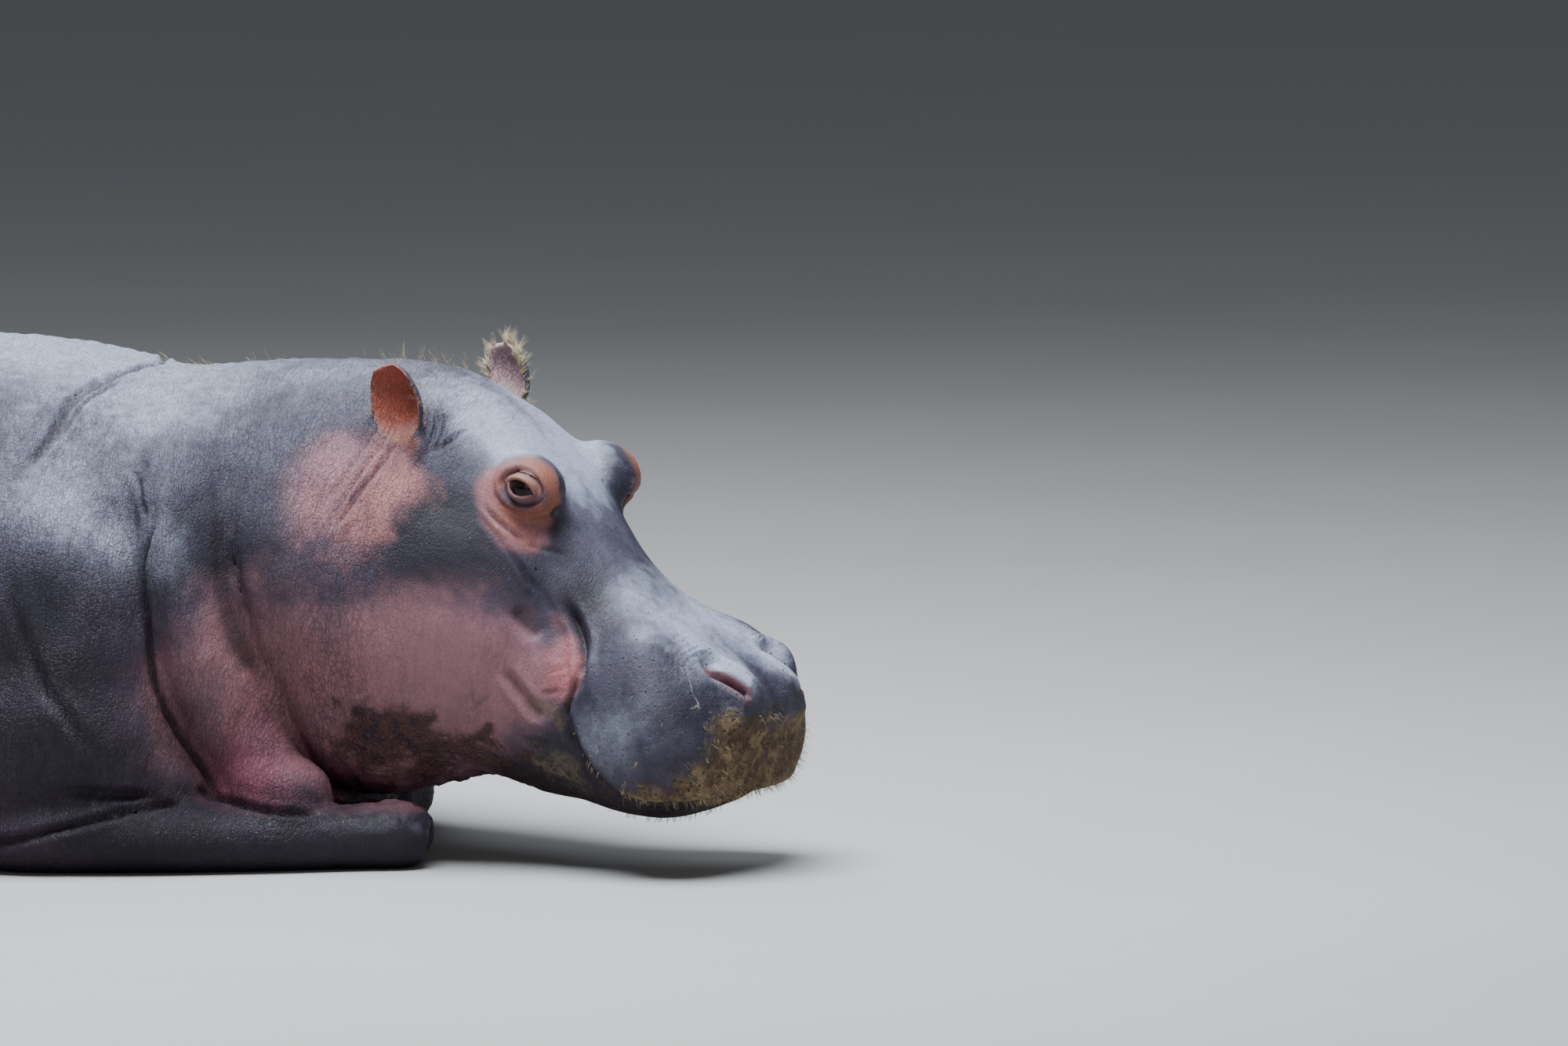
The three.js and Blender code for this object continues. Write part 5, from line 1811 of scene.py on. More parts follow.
class Graph:
    """One material's nodes."""

    def __init__(self, name: str) -> None:
        """Starts a material with one Principled surface."""
        self.material = bpy.data.materials.new(name)
        self.material.use_nodes = True
        self.tree = self.material.node_tree
        self.surface = next(n for n in self.tree.nodes if n.type == "BSDF_PRINCIPLED")

    def set(self, socket: bpy.types.NodeSocket, value: Number) -> None:
        """Links a signal to a socket, or sets the socket's own value."""
        if isinstance(value, Signal):
            self.tree.links.new(value.socket, socket)
        elif isinstance(value, tuple) and len(value) == 3 and len(socket.default_value) == 4:
            socket.default_value = (*value, 1.0)
        else:
            socket.default_value = value

    def node(self, kind: str, settings: dict[str, Any], inputs: dict[Any, Number]) -> dict[str, Signal]:
        """Adds a node.

        Args:
            kind: its type.
            settings: its own settings, set before the sockets.
            inputs: values or signals for its sockets, by name or number.

        Returns:
            Its enabled outputs by name.
        """
        made = self.tree.nodes.new(kind)
        for key, value in settings.items():
            setattr(made, key, value)
        for key, value in inputs.items():
            socket = made.inputs[key] if isinstance(key, int) else next(
                s for s in made.inputs if s.name == key and s.enabled)
            self.set(socket, value)
        return {s.name: Signal(self, s) for s in made.outputs if s.enabled}

    def sum(self, kind: str, *values: Number, clamp: bool = False) -> Signal:
        """A Math node."""
        return self.node("ShaderNodeMath", {"operation": kind, "use_clamp": clamp}, dict(enumerate(values)))["Value"]

    def blend(self, share: Number, first: Number, second: Number, kind: str = "MIX") -> Signal:
        """A colour between two others."""
        return self.node(
            "ShaderNodeMix", {"data_type": "RGBA", "blend_type": kind, "clamp_factor": True},
            {"Factor": share, "A": first, "B": second},
        )["Result"]

    def scaled(self, vector: Signal, by: Triple) -> Signal:
        """A vector with its parts multiplied."""
        return self.node("ShaderNodeVectorMath", {"operation": "MULTIPLY"}, {0: vector, 1: by})["Vector"]

    def moved(self, vector: Signal, by: Signal, far: float) -> Signal:
        """A vector pushed about by a colour of noise."""
        return self.node(
            "ShaderNodeVectorMath", {"operation": "MULTIPLY_ADD"}, {0: by, 1: (far, far, far), 2: vector})["Vector"]

    def attribute(self, name: str) -> Signal:
        """A vector attribute of the mesh."""
        return self.node("ShaderNodeAttribute", {"attribute_name": name}, {})["Vector"]

    def parts(self, vector: Signal) -> tuple[Signal, Signal, Signal]:
        """A vector's three numbers."""
        made = self.node("ShaderNodeSeparateXYZ", {}, {"Vector": vector})
        return made["X"], made["Y"], made["Z"]

    def places(self) -> Signal:
        """The piece's own coordinates."""
        return self.node("ShaderNodeTexCoord", {}, {})["Object"]

    def clouds(self, vector: Signal, size: float, detail: float = 3.0, rough: float = 0.5,
               part: str = "Factor") -> Signal:
        """Noise with features about size metres across, near 0.5 on the whole."""
        made = self.node(
            "ShaderNodeTexNoise", {}, {"Vector": vector, "Scale": 1 / size, "Detail": detail, "Roughness": rough})
        return made.get(part) or made["Fac" if part == "Factor" else part]

    def cells(self, vector: Signal, size: float, feature: str = "DISTANCE_TO_EDGE") -> Signal:
        """Distance to the edges of cells, or to their middles, in cells."""
        return self.node(
            "ShaderNodeTexVoronoi", {"feature": feature}, {"Vector": vector, "Scale": 1 / size})["Distance"]

    def finish(self, **inputs: Number) -> bpy.types.Material:
        """Sets the Principled surface's sockets, named with underscores for spaces.

        Args:
            inputs: values or signals.

        Returns:
            The material.
        """
        for key, value in inputs.items():
            self.set(self.surface.inputs[key.replace("_", " ")], value)
        return self.material

    def bumped(self, height: Signal) -> Signal:
        """A normal from a height in metres."""
        return self.node("ShaderNodeBump", {}, {"Strength": 1.0, "Distance": 1.0, "Height": height})["Normal"]


@dataclass(frozen=True)
class SkinFinish:
    """The hippopotamus's bare skin: blue slate, dusty pink in its folds, dried mud and a mesh of fine wrinkles, with
    painted sheen on top and painted shade beneath and in its creases.
    """

    slate: Triple = (0.086, 0.086, 0.122)
    deep: Triple = (0.022, 0.020, 0.036)
    # pale bluish grey, for dust on the skin and for the painted sheen of the sky on its top-facing parts
    dust_and_sheen: Triple = (0.330, 0.355, 0.450)
    plum: Triple = (0.060, 0.033, 0.062)
    pink: Triple = (0.340, 0.160, 0.182)
    salmon: Triple = (0.430, 0.180, 0.172)
    magenta: Triple = (0.200, 0.045, 0.080)
    orange: Triple = (0.262, 0.094, 0.062)
    red: Triple = (0.370, 0.130, 0.135)
    mud: Triple = (0.230, 0.165, 0.082)
    rust: Triple = (0.090, 0.055, 0.022)
    grime: Triple = (0.070, 0.027, 0.018)
    # near black, for the painted shade in folds, wrinkle grooves and pits, and for dark specks in the mud and the
    # jowl's grime
    fold: Triple = (0.014, 0.009, 0.013)
    blood: Triple = (0.370, 0.085, 0.056)
    rose: Triple = (0.290, 0.122, 0.098)
    blush: Triple = (0.680, 0.470, 0.500)
    shadow: Triple = (0.008, 0.007, 0.013)
    lid: Triple = (0.300, 0.130, 0.105)
    low_lid: Triple = (0.170, 0.080, 0.074)
    clay: Triple = (0.120, 0.095, 0.065)
    chalk: Triple = (0.560, 0.560, 0.560)

    def material(self) -> bpy.types.Material:
        """The finish as a material."""
        g = Graph("hippo_skin")
        grain, own = g.attribute("grain"), g.places()
        pink, magenta, orange = g.parts(g.attribute("marks_a"))
        mud, pale, dark = g.parts(g.attribute("marks_b"))
        fold, up, face = g.parts(g.attribute("marks_c"))
        salmon, red, grime = g.parts(g.attribute("marks_d"))
        cup, blush, raw = g.parts(g.attribute("marks_e"))
        lid, scar, earth = g.parts(g.attribute("marks_f"))
        _, _, height = g.parts(own)
        warp = g.clouds(own, 0.045, 2.0, part="Color")
        bent = g.moved(grain, warp, 0.014)
        broad, middle = g.clouds(own, 0.30, 4.0), g.clouds(bent, 0.060, 4.0)
        fine, grit = g.clouds(own, 0.016, 4.0, 0.6), g.clouds(own, 0.0040, 3.0, 0.65)
        # wrinkles: two families that cross, and the little cells between them
        rings = g.clouds(g.scaled(bent, (1.0, 0.15, 0.15)), 0.0048, 2.0, 0.4)
        ties = g.clouds(g.scaled(bent, (0.20, 1.0, 1.0)), 0.0046, 2.0, 0.4)
        cells = g.cells(g.scaled(bent, (1.0, 0.70, 0.70)), 0.0040)
        ring_line = 1.0 - g.sum("ABSOLUTE", rings - 0.5).step(0.0, 0.055)
        tie_line = 1.0 - g.sum("ABSOLUTE", ties - 0.5).step(0.0, 0.045)
        cell_line = 1.0 - cells.step(0.0, 0.20)
        plates = g.cells(g.scaled(bent, (1.0, 0.75, 0.75)), 0.0078)
        plate_line = 1.0 - plates.step(0.0, 0.17)
        along, _, _ = g.parts(grain)
        skull = along.step(1.18, 1.34)
        calm = (1.0 - face * 0.35) * (broad * 0.9 + middle * 0.9 - 0.1).clamped()
        ring_line, tie_line = ring_line * (1.0 - skull * 0.45), tie_line * (0.6 + skull * 0.4)
        lines = (ring_line * (0.45 + middle * 0.6) + tie_line * 0.55 + cell_line * 0.55).clamped() * calm
        ragged = broad * 0.25 + middle * 0.45 + fine * 0.5 + 0.42
        tone = broad * 0.55 + middle * 0.35 + fine * 0.25 - 0.06
        colour = g.blend(tone.step(0.34, 0.70), self.deep, self.slate)
        # painted shade: more plum away from top-facing skin and towards the floor, low on the body away from the
        # face, over random plum patches of the skin's own
        under = 1.0 - height.step(0.10, 0.50)
        wine = (broad * 0.5 + middle * 0.4 - up * 0.3).step(0.36, 0.62) * 0.45 + under * (1.0 - face) * 0.62
        colour = g.blend(wine.clamped(), colour, self.plum)
        down, up = (-up).clamped(), up.clamped()
        # painted shade: the dark marking blends the places that lie in shadow towards the shadow tint
        colour = g.blend((dark * ragged).clamped() * 0.90, colour, self.shadow)
        # painted sheen: up-facing skin made paler, less so on the head, and pale spots of painted sheen and dusty
        # bloom blended towards the pale bluish grey
        top_sheen = up * (0.22 - along.step(0.70, 1.05) * 0.17)
        sheen_and_dust = ((pale * (1.0 - salmon * 0.6) + top_sheen) * (fine * 0.9 + middle * 0.7 + 0.15)).step(0.10, 0.95)
        colour = g.blend(sheen_and_dust * 0.85, colour, self.dust_and_sheen)
        for share, tint, most in (
            (pink, self.pink, 0.92), (salmon, self.salmon, 0.85), (magenta, self.magenta, 0.85),
            (red, self.red, 0.90), (orange, self.orange, 0.95),
        ):
            colour = g.blend((share * ragged).step(0.06, 0.98) * most, colour, tint)
        streak = g.clouds(g.scaled(bent, (1.0, 0.2, 0.2)), 0.011, 3.0, 0.6)
        uneven = (streak * 0.7 + middle * 0.5 - 0.1).step(0.40, 0.66)
        colour = g.blend(((salmon + pink * 0.5) * uneven).clamped() * 0.42, colour, self.plum)
        warts = g.cells(g.moved(own, warp, 0.030), 0.017) * 0.6 + g.cells(g.moved(own, warp, 0.020), 0.0075) * 0.5
        crevice = 1.0 - warts.step(0.02, 0.34)
        dirty = (grime * (crevice * 0.35 + middle * 0.9 + fine * 0.7 - 0.15)).step(0.14, 0.72)
        colour = g.blend(dirty * 0.88, colour, g.blend(fine.step(0.40, 0.56), self.fold, self.grime))
        # painted shade on the undersides, which face the floor, stronger on the face
        colour = g.blend(down * (face * 0.35 + 0.30), colour, self.shadow)
        colour = g.blend((earth * (crevice * 0.5 + fine * 0.9 + 0.2)).step(0.2, 0.8) * 0.8, colour, self.clay)
        inside = g.blend(cup.step(0.55, 0.95), self.rose, self.blood)
        inside = g.blend((middle * 1.4 + fine * 0.6 - 0.7).clamped() * 0.4 * cup, inside, self.grime)
        colour = g.blend(cup.step(0.02, 0.36) * 0.96, colour, inside)
        colour = g.blend(blush.step(0.05, 0.6) * 0.92, colour, self.blush)
        colour = g.blend(lid.step(0.1, 0.6) * 0.92, colour, g.blend(lid.step(0.65, 0.95), self.low_lid, self.lid))
        colour = g.blend(raw * 0.95, colour, self.red)
        speck = g.cells(g.scaled(own, (1.0, 1.0, 0.8)), 0.0090, "F1")
        muddy = (mud * (fine * 0.7 + middle * 0.6 + grit * 0.5 + 0.05)).step(0.30, 0.80)
        soil = g.blend((middle * 0.5 + fine * 0.5).step(0.42, 0.62), self.rust, self.mud)
        colour = g.blend(muddy * (0.55 + fine * 0.5), colour, soil)
        colour = g.blend((1.0 - speck.step(0.10, 0.42)) * (mud * 1.3).clamped() * fine * 1.2, colour, self.fold)
        # painted shade in the pits of the face
        pits = (1.0 - speck.step(0.06, 0.26)) * face * fine.step(0.42, 0.60)
        colour = g.blend(pits * 0.6, colour, self.fold)
        leather = plate_line * (1.0 - skull * 0.75) * (middle * 1.1 + broad * 0.4 + under * 0.3 - 0.2).clamped()
        # painted shade in the grooves of the wrinkles and between the hide's plates
        colour = g.blend(lines * (0.42 - skull * 0.16), colour, self.fold)
        colour = g.blend(leather * 0.46, colour, self.fold)
        colour = g.blend((scar * (0.6 + grit)).step(0.35, 0.95), colour, self.chalk)
        # painted shade in the folds, as deep as each place lies in one
        colour = g.blend((fold * 1.1).step(0.12, 1.0) * 0.72, colour, self.fold)
        colour = g.blend(grit.step(0.64, 0.78) * 0.30, colour, self.dust_and_sheen)
        relief = middle * 0.0020 + fine * 0.0008 + grit * 0.00026 + muddy * fine * 0.0022 - grime * crevice * 0.0026
        relief = relief + muddy * grit * 0.0012 + scar * 0.0006 - pits * 0.0012 + face * fine * 0.0010
        relief = relief - (ring_line * 0.00050 + tie_line * 0.00036) * calm * (1.15 - skull * 0.65)
        relief = relief - cell_line * 0.00034 * (1.2 - skull * 0.85) - leather * 0.00070
        rough = 0.34 + fine * 0.24 + muddy * 0.35 + lines * 0.10 + (1.0 - up) * 0.08
        return g.finish(
            Base_Color=colour, Roughness=rough.clamped(), Normal=g.bumped(relief), Specular_IOR_Level=0.26)


# ---------- eyes and nails


@dataclass(frozen=True)
class EyeFinish:
    """A wet eye with a dark brown iris round a wide pupil."""

    def material(self) -> bpy.types.Material:
        """The finish as a material."""
        g = Graph("hippo_eye")
        u, v, _ = g.parts(g.attribute("gaze"))
        far = (u * u + v * v) ** 0.5
        streaks = g.clouds(g.attribute("gaze"), 0.0025, 3.0, 0.6)
        colour = g.blend((far + streaks * 0.0025).step(0.0070, 0.0090), (0.001, 0.001, 0.001), (0.009, 0.005, 0.004))
        colour = g.blend(streaks.step(0.45, 0.7) * 0.6, colour, (0.014, 0.007, 0.005))
        colour = g.blend((far + streaks * 0.003).step(0.0125, 0.0160), colour, (0.016, 0.009, 0.009))
        return g.finish(Base_Color=colour, Roughness=(0.04 + streaks * 0.05), Specular_IOR_Level=0.20)


@dataclass
class EyeBall:
    """One eyeball, with a clear bulge over the iris."""

    side: Side
    eye: Eye = EYE
    rings: int = 48

    def build(self) -> bpy.types.Object:
        """The eyeball in its socket, looking out and a little forward."""
        deselect_all()
        bpy.ops.mesh.primitive_uv_sphere_add(segments=64, ring_count=self.rings, radius=1.0)
        ball = bpy.context.object
        ball.name = ball.data.name = f"eyeball_{self.side.word}"
        local = corners_of(ball)
        radius = self.eye.radius * MM - 0.0003
        bulge = 1 + 0.035 * bell(np.arccos(np.clip(local[:, 2], -1, 1)), 0.52)
        local = local * bulge[:, None] * radius
        aim = unit(np.array([0.22, self.side.value * 1.0, -0.02]))
        across = unit(np.cross((0, 0, 1), aim))
        up = np.cross(aim, across)
        head = local[:, :1] * across + local[:, 1:2] * up + local[:, 2:] * aim
        centre = mirrored([self.eye.at], self.side)[0]
        set_corners(ball, HEAD.place(head + centre))
        write_attribute(ball, "gaze", local)
        if np.linalg.det(np.array([across, up, aim])) < 0:
            ball.data.flip_normals()
        dress(ball, EyeFinish().material())
        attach(ball, "root")
        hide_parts(f"eye_{self.side.word}")
        return ball


@dataclass(frozen=True)
class HornFinish:
    """Dull grey-brown horn, streaked along the nail and chipped at its end."""

    def material(self) -> bpy.types.Material:
        """The finish as a material."""
        g = Graph("hippo_nail")
        own = g.places()
        streak = g.clouds(g.scaled(own, (0.25, 1.0, 1.0)), 0.004, 3.0)
        spots = g.clouds(own, 0.012, 4.0, 0.6)
        colour = g.blend(streak.step(0.35, 0.7), (0.085, 0.066, 0.052), (0.230, 0.185, 0.140))
        colour = g.blend(spots.step(0.5, 0.75) * 0.7, colour, (0.060, 0.052, 0.050))
        return g.finish(
            Base_Color=colour, Roughness=(0.35 + spots * 0.35), Normal=g.bumped(streak * 0.0008 + spots * 0.0008))


@dataclass
class Nails:
    """The sixteen nails, each copied from its own solid and rounded."""

    names: tuple[str, ...] = tuple(
        f"{leg}_{side.word}_nail_{i}" for leg in ("foreleg", "hindleg") for side in Side for i in (1, 2, 3, 4)
    )

    def build(self, nodes: dict[str, bpy.types.Object]) -> list[bpy.types.Object]:
        """Every nail of horn."""
        made = []
        horn = HornFinish().material()
        for name in self.names:
            nail = added(f"horn_{name}", nodes[name].data.copy())
            edit(nail, bpy.ops.mesh.remove_doubles, threshold=0.0002)
            apply_modifier(nail, "REMESH", mode="VOXEL", voxel_size=0.0022)
            set_corners(nail, relax(corners_of(nail), edges_of(nail), 0.5, 8))
            apply_modifier(nail, "DECIMATE", ratio=0.4)
            dress(nail, horn)
            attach(nail, "root")
            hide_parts(name)
            made.append(nail)
        return made


# ---------- hair


@dataclass(frozen=True)
class HairFinish:
    """Pale dry bristle, darker in places."""

    name: str
    pale: Triple = (0.620, 0.480, 0.290)
    dull: Triple = (0.330, 0.230, 0.130)

    def material(self) -> bpy.types.Material:
        """The finish as a material."""
        g = Graph(self.name)
        spots = g.clouds(g.places(), 0.006, 3.0)
        colour = g.blend(spots.step(0.38, 0.66), self.dull, self.pale)
        return g.finish(Base_Color=colour, Roughness=(0.42 + spots * 0.2), Normal=g.bumped(spots * 0.0002))


Field = Callable[["Roots"], Points]
HAIR_CORNERS = 13       # four rings of three corners, and the tip
APART = 0.0008          # how far a single hair's root strays, in metres
APART_IN_TUFT = 0.0018  # the same in a tuft
ASTRAY = 0.30           # how far a tuft's lean strays
JITTER = 0.12           # how far each hair's does


@dataclass
class Roots:
    """Places on the skin where hair may grow: in the model and in the head's frame, with normals."""

    points: Points
    normals: Points

    def __post_init__(self) -> None:
        """Reads the places in the head's frame."""
        self.head, self.aims = HEAD.read(self.points), HEAD.read_aim(self.normals)

    def ear(self, side: Side) -> tuple[Points, Points, Points]:
        """Places along an ear and in its leaf's outline, far off both elsewhere, and the way out from its middle."""
        _, rise, _, across, _ = EARS[side].axes(side)
        a, b, c, leaf = EARS[side].read(side, self.head)
        near = (np.abs(c) < 60) & (a > -0.1) & (a < 1.2) & (np.abs(b) < 1.3)
        out = unit((a - 0.45)[:, None] * rise + (0.62 * b)[:, None] * across)
        return np.where(near, a, 9.0), np.where(near, leaf, 9.0), HEAD.aim(out)


def ear_edge(side: Side, low: float) -> Field:
    """How much hair grows along an ear's rim, above the share low of its length."""
    def field_of(roots: Roots) -> Points:
        """The rim's share at each place."""
        along, leaf, _ = roots.ear(side)
        return bell(leaf - 0.97, 0.09) * smooth(along, low, low + 0.15)
    return field_of


@dataclass(frozen=True)
class Growth:
    """One growth of hair, with lengths in millimetres.

    Attributes:
        name: the piece's name.
        count: how many hairs.
        lengths: shortest and longest.
        girth: thickness at the root.
        where: how densely it grows at each place.
        flow: the way it leans.
        lean: how far it leans from the skin's own direction, from 0 to 1.
        curl: how far its tip is carried aside, as a share of its length.
        tied: how many hairs stand in one tuft.
    """

    name: str
    count: int
    lengths: tuple[float, float]
    girth: float
    where: Field
    flow: Field
    lean: float
    curl: float = 0.25
    tied: int = 1
    seed: int = 1
    finish: HairFinish = HairFinish("blond_bristle")

    def build(self, roots: Roots) -> bpy.types.Object:
        """The growth as one piece, with a bake map laid out by where each hair's root is."""
        rng = np.random.default_rng(self.seed)
        odds = np.maximum(self.where(roots), 0)
        picked = rng.choice(len(odds), self.count // self.tied, p=odds / odds.sum())
        picked = np.repeat(picked, self.tied)
        count = len(picked)
        spread = rng.normal(size=(count, 3)) * (APART if self.tied == 1 else APART_IN_TUFT)
        start = roots.points[picked]
        astray = np.repeat(rng.normal(size=(count // self.tied, 3)), self.tied, axis=0) * ASTRAY
        out = roots.normals[picked]
        flow = unit(self.flow(roots)[picked] + astray + rng.normal(size=(count, 3)) * JITTER)
        way = unit(out * (1 - self.lean) + flow * self.lean + rng.normal(size=(count, 3)) * JITTER)
        length = np.repeat(rng.uniform(*self.lengths, size=count // self.tied), self.tied)[:, None] * MM
        length = length * rng.uniform(0.75, 1.1, size=(count, 1))
        bend = unit(np.cross(way, astray + 1e-6)) * 0.6 + flow * 0.6
        side_a = unit(np.cross(way, bend))
        side_b = np.cross(way, side_a)
        steps = (-0.06, 0.3, 0.58, 0.82)
        turns = np.arange(3) * 2 * math.pi / 3
        corners = np.zeros((count, HAIR_CORNERS, 3))
        for row, t in enumerate(steps):
            middle = start + spread * (1 - 0.7 * t) + length * (way * t + bend * self.curl * t * t)
            thick = self.girth * MM * (1 - max(t, 0)) ** 0.7 / 2
            for k, turn in enumerate(turns):
                corners[:, row * 3 + k] = middle + (side_a * math.cos(turn) + side_b * math.sin(turn)) * thick
        corners[:, -1] = start + spread * 0.3 + length * (way + bend * self.curl)
        one = [[2, 1, 0]]
        for row in range(3):
            one += [[row * 3 + c for c in (k, (k + 1) % 3, 3 + (k + 1) % 3, 3 + k)] for k in range(3)]
        one += [[9 + k, 9 + (k + 1) % 3, HAIR_CORNERS - 1] for k in range(3)]
        faces = [[i * HAIR_CORNERS + c for c in face] for i in range(count) for face in one]
        piece = piece_of(self.name, corners.reshape(-1, 3), faces)
        grain = spine_grain(roots.points[picked])
        home = np.column_stack([
            0.03 + (grain[:, 0] + 1.15) / 3.35 * 0.94,
            0.03 + (np.arctan2(grain[:, 1], grain[:, 2] - 0.38) / (2 * math.pi) + 0.5) * 0.94,
        ])
        spot = [(0.0015 * math.cos(k * 2.1), 0.0005 * row) for row in range(4) for k in range(3)] + [(0, 0.002)]
        spot = np.array(spot)
        layer = piece.data.uv_layers.new(name="OFBake")
        corner_of = rows_of(piece.data.loops, "vertex_index", 1, np.int32)[:, 0]
        laid = home[corner_of // HAIR_CORNERS] + spot[corner_of % HAIR_CORNERS]
        layer.data.foreach_set("uv", laid.astype(np.float32).ravel())
        edit(piece, bpy.ops.mesh.normals_make_consistent, inside=False)
        dress(piece, self.finish.material())
        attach(piece, "root")
        return piece


# the lower edge of the upper lip, in the head's x and z
LIP_LINE = ((0.50, 0.535, 0.568, 0.622, 0.672, 0.74), (-0.086, -0.103, -0.114, -0.119, -0.104, -0.056))


def on_nape(roots: Roots) -> Points:
    """Hair along the top of the neck and the crown."""
    x, y, _ = roots.head.T
    return bell(x + 0.03, 0.09) * bell(np.abs(y) - 0.05, 0.05) * smooth(roots.aims[:, 2], 0.7, 0.95)


def on_withers(roots: Roots) -> Points:
    """Sparse hair over the withers."""
    x, y, z = roots.points.T
    return bell(x - 0.78, 0.10) * bell(y + 0.02, 0.09) * (z > 0.6)


def on_muzzle(roots: Roots) -> Points:
    """Bristles on the muzzle's front, its lips and the whisker pads."""
    x, y, z = roots.head.T
    front = smooth(x, 0.66, 0.72) * smooth(z, -0.11, -0.06) * (1 - smooth(z, 0.03, 0.09))
    lip_height = np.interp(x, *LIP_LINE)
    lip = bell(z - lip_height - 0.006, 0.012) * smooth(x, 0.50, 0.56) * (roots.aims[:, 2] < 0.3)
    pad = 0.08 * bell(x - 0.60, 0.07) * (z > lip_height) * (z < 0.05) * (np.abs(y) > 0.1)
    return front + lip * 0.9 + pad


def on_chin(roots: Roots) -> Points:
    """Short bristles under the chin."""
    x, y, z = roots.head.T
    return bell(x - 0.66, 0.07) * smooth(-z, 0.12, 0.15) * (np.abs(y) < 0.16)


def on_tail(roots: Roots) -> Points:
    """The tuft at the tail's end."""
    x, _, z = roots.points.T
    return (x < -1.045) * (1 - smooth(z, 0.22, 0.33)) * (z > 0.12)


def ear_front(roots: Roots) -> Points:
    """Short hair in front of and behind the right ear's foot."""
    near = [(-0.02, -0.175, 0.118, 0.022), (0.035, -0.150, 0.165, 0.020), (0.012, -0.16, 0.10, 0.02)]
    return sum(bell(np.linalg.norm(roots.head - at[:3], axis=1), at[3]) for at in near)


def towards(way: Triple, in_head: bool = True) -> Field:
    """A growth's lean that is the same everywhere."""
    def field_of(roots: Roots) -> Points:
        """The way at each place."""
        aim = HEAD.aim(unit(np.array(way, float))) if in_head else unit(np.array(way, float))
        return np.broadcast_to(aim, roots.points.shape)
    return field_of


GROWTHS: tuple[Growth, ...] = (
    Growth("ear_fringe_left", 1200, (6, 17), 0.6, ear_edge(Side.LEFT, 0.15),
           lambda r: unit(r.ear(Side.LEFT)[2] + HEAD.aim(np.array([-0.35, 0.1, 0.5]))), 0.9, 0.9, 6, 3,
           HairFinish("pale_bristle", (0.780, 0.690, 0.480), (0.520, 0.420, 0.250))),
    Growth("ear_fringe_right", 90, (3, 7), 0.4, ear_edge(Side.RIGHT, 0.05), lambda r: r.ear(Side.RIGHT)[2], 0.8,
           0.3, 3, 4),
    Growth("ear_foot_hair", 300, (6, 16), 0.4, ear_front, towards((-0.8, -0.5, 0.5)), 0.7, 0.4, 3, 5),
    Growth("nape_wisps", 150, (6, 19), 0.5, on_nape, towards((-0.7, 0, 0.5)), 0.6, 0.9, 3, 6),
    Growth("withers_wisps", 40, (8, 20), 0.5, on_withers, towards((-1, 0, 0.3), False), 0.6, 0.7, 2, 7),
    Growth("muzzle_bristles", 900, (5, 15), 0.6, on_muzzle, towards((0.6, 0, -0.3)), 0.4, 0.25, 2, 8,
           HairFinish("straw_bristle", (0.560, 0.430, 0.230), (0.260, 0.190, 0.100))),
    Growth("chin_bristles", 240, (5, 12), 0.7, on_chin, towards((0.2, 0, -1)), 0.4, 0.2, 2, 9,
           HairFinish("dark_bristle", (0.120, 0.085, 0.060), (0.040, 0.028, 0.020))),
    Growth("tail_tuft", 340, (22, 64), 0.9, on_tail, towards((-0.1, 0, -1), False), 0.75, 0.2, 2, 10,
           HairFinish("tail_bristle", (0.200, 0.150, 0.100), (0.050, 0.038, 0.030))),
)


# ---------- studio


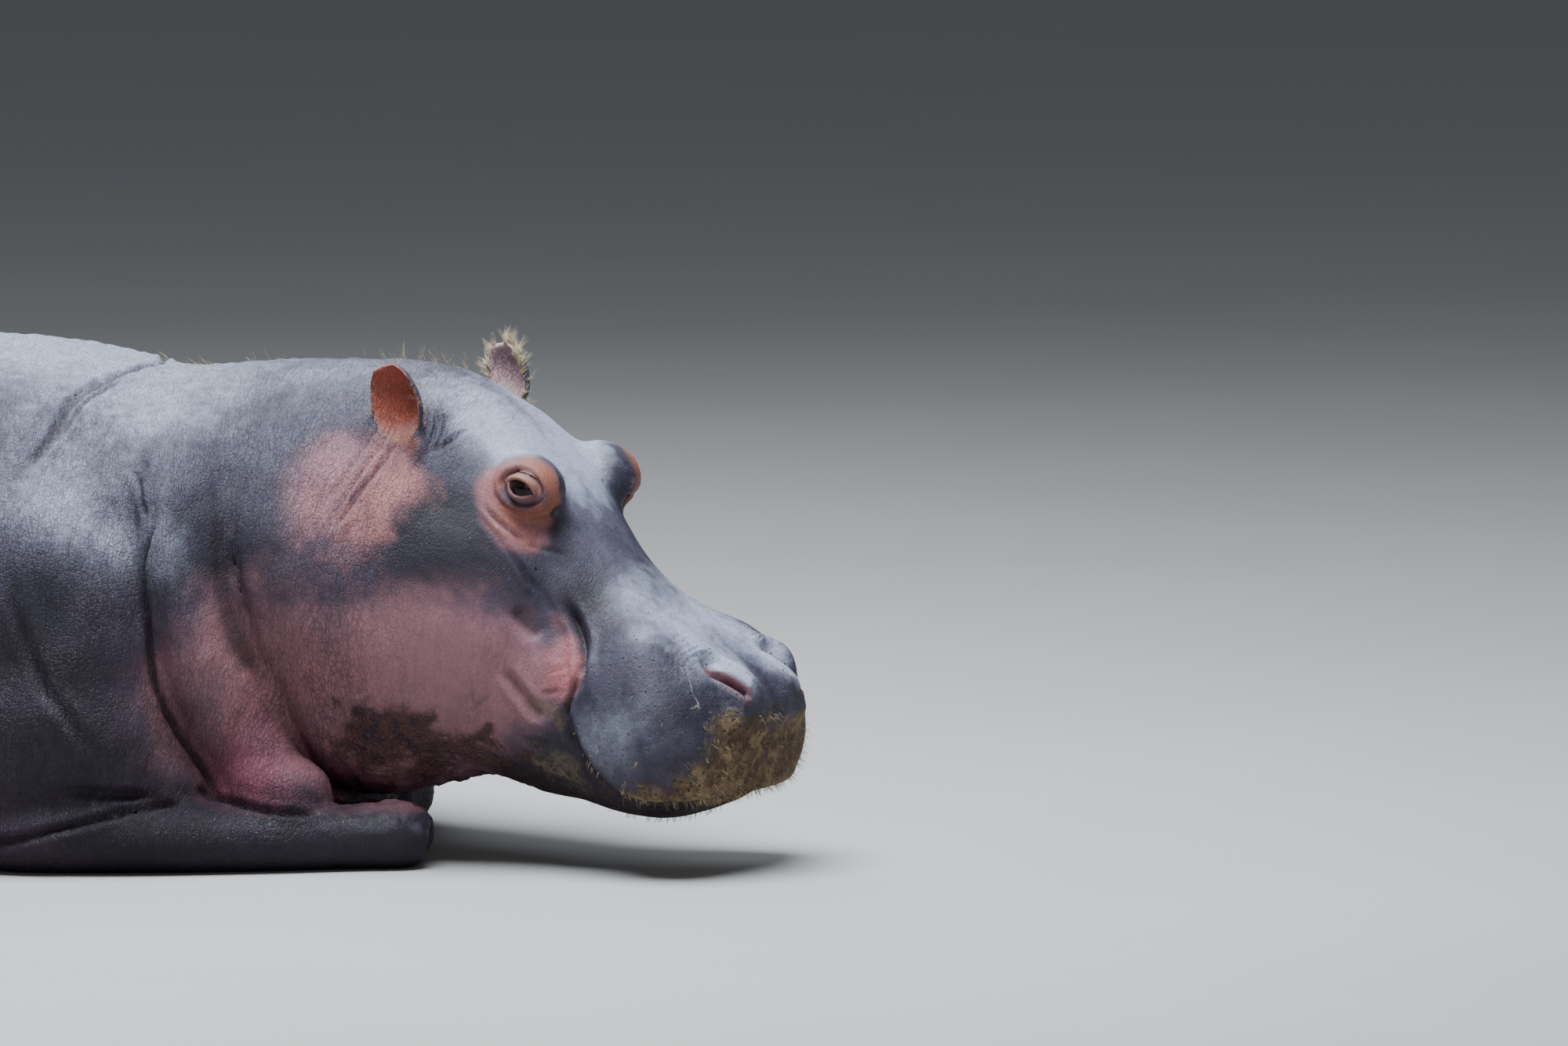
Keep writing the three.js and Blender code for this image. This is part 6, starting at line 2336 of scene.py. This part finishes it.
@dataclass(frozen=True)
class Studio:
    """Pale floor, soft light and camera.

    Attributes:
        azimuth: the camera's turn to the animal's front, in degrees.
        elevation: its angle above the floor, in degrees.
        distance: how far it stands off.
        lens: its focal length in millimetres.
        aim: the place it looks at, across and up in its own view.
        focus: the place the lamps point at.
    """

    azimuth: float = 12.0
    elevation: float = 5.5
    distance: float = 18.0
    lens: float = 277.02
    aim: tuple[float, float] = (1.652, 0.45036)
    focus: Triple = (0.4, 0.0, 0.35)

    def floor(self) -> None:
        """A wide pale floor at the height the belly rests on."""
        deselect_all()
        bpy.ops.mesh.primitive_plane_add(size=160, location=(0, 0, 0))
        floor = bpy.context.object
        floor.name = "floor"
        g = Graph("pale_floor")
        spots = g.clouds(g.places(), 0.9, 3.0)
        colour = g.blend(spots.step(0.35, 0.65), (0.375, 0.372, 0.366), (0.385, 0.382, 0.376))
        floor.data.materials.append(g.finish(Base_Color=colour, Roughness=(0.75 + spots * 0.15)))

    def lights(self) -> None:
        """A broad soft light above, a gentle one from the front, and a pale sky."""
        for name, place, size, watts, colour in (
            ("above", (0.9, -0.9, 5.0), 4.0, 860, (0.90, 0.95, 1.0)),
            ("front", (4.2, -6.5, 2.4), 3.5, 55, (1.0, 0.97, 0.94)),
            ("rear", (-2.0, 4.2, 4.6), 4.0, 190, (0.90, 0.95, 1.0)),
        ):
            lamp = bpy.data.lights.new(name, "AREA")
            lamp.shape, lamp.size, lamp.energy, lamp.color = "DISK", size, watts, colour
            holder = added(name, lamp)
            holder.location = place
            way = np.array(self.focus) - np.array(place)
            holder.rotation_euler = (math.atan2(math.hypot(way[0], way[1]), -way[2]), 0,
                                     math.atan2(way[1], way[0]) - math.pi / 2)
        world = bpy.data.worlds.new("sky")
        bpy.context.scene.world = world
        world.use_nodes = True
        back = next(n for n in world.node_tree.nodes if n.type == "BACKGROUND")
        back.inputs["Color"].default_value = (0.84, 0.90, 1.0, 1)
        back.inputs["Strength"].default_value = 0.17

    def camera(self) -> None:
        """The camera, low and a little to the front of the animal's right side."""
        a, e = math.radians(self.azimuth), math.radians(self.elevation)
        right = np.array([math.cos(a), math.sin(a), 0])
        up = np.array([-math.sin(a) * math.sin(e), math.cos(a) * math.sin(e), math.cos(e)])
        back = np.cross(right, up)
        place = right * self.aim[0] + up * self.aim[1] + back * self.distance
        data = bpy.data.cameras.new("camera")
        data.sensor_width, data.lens = 36, self.lens
        data.clip_end = 400
        camera = added("camera", data)
        camera.location = place
        camera.rotation_euler = (math.pi / 2 - e, 0, a)
        bpy.context.scene.camera = camera

    def build(self) -> None:
        """Everything round the model."""
        self.floor()
        self.lights()
        self.camera()


def main() -> None:
    """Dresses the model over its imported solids."""
    logging.basicConfig(level=logging.INFO, format="%(message)s")
    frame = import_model()
    deselect_all()
    skin = Skin(Flesh()).build()
    LOG.info("skin: %d triangles", len(skin.data.polygons))
    for side in Side:
        ball = EyeBall(side).build()
        LOG.info("%s: %d faces", ball.name, len(ball.data.polygons))
    nails = Nails().build(frame["nodes"])
    LOG.info("nails: %d pieces, %d faces", len(nails), sum(len(n.data.polygons) for n in nails))
    roots = Roots(corners_of(skin), normals_of(skin))
    for growth in GROWTHS:
        piece = growth.build(roots)
        LOG.info("%s: %d faces", piece.name, len(piece.data.polygons))
    Studio().build()
    deselect_all()


if __name__ == "__main__":
    main()
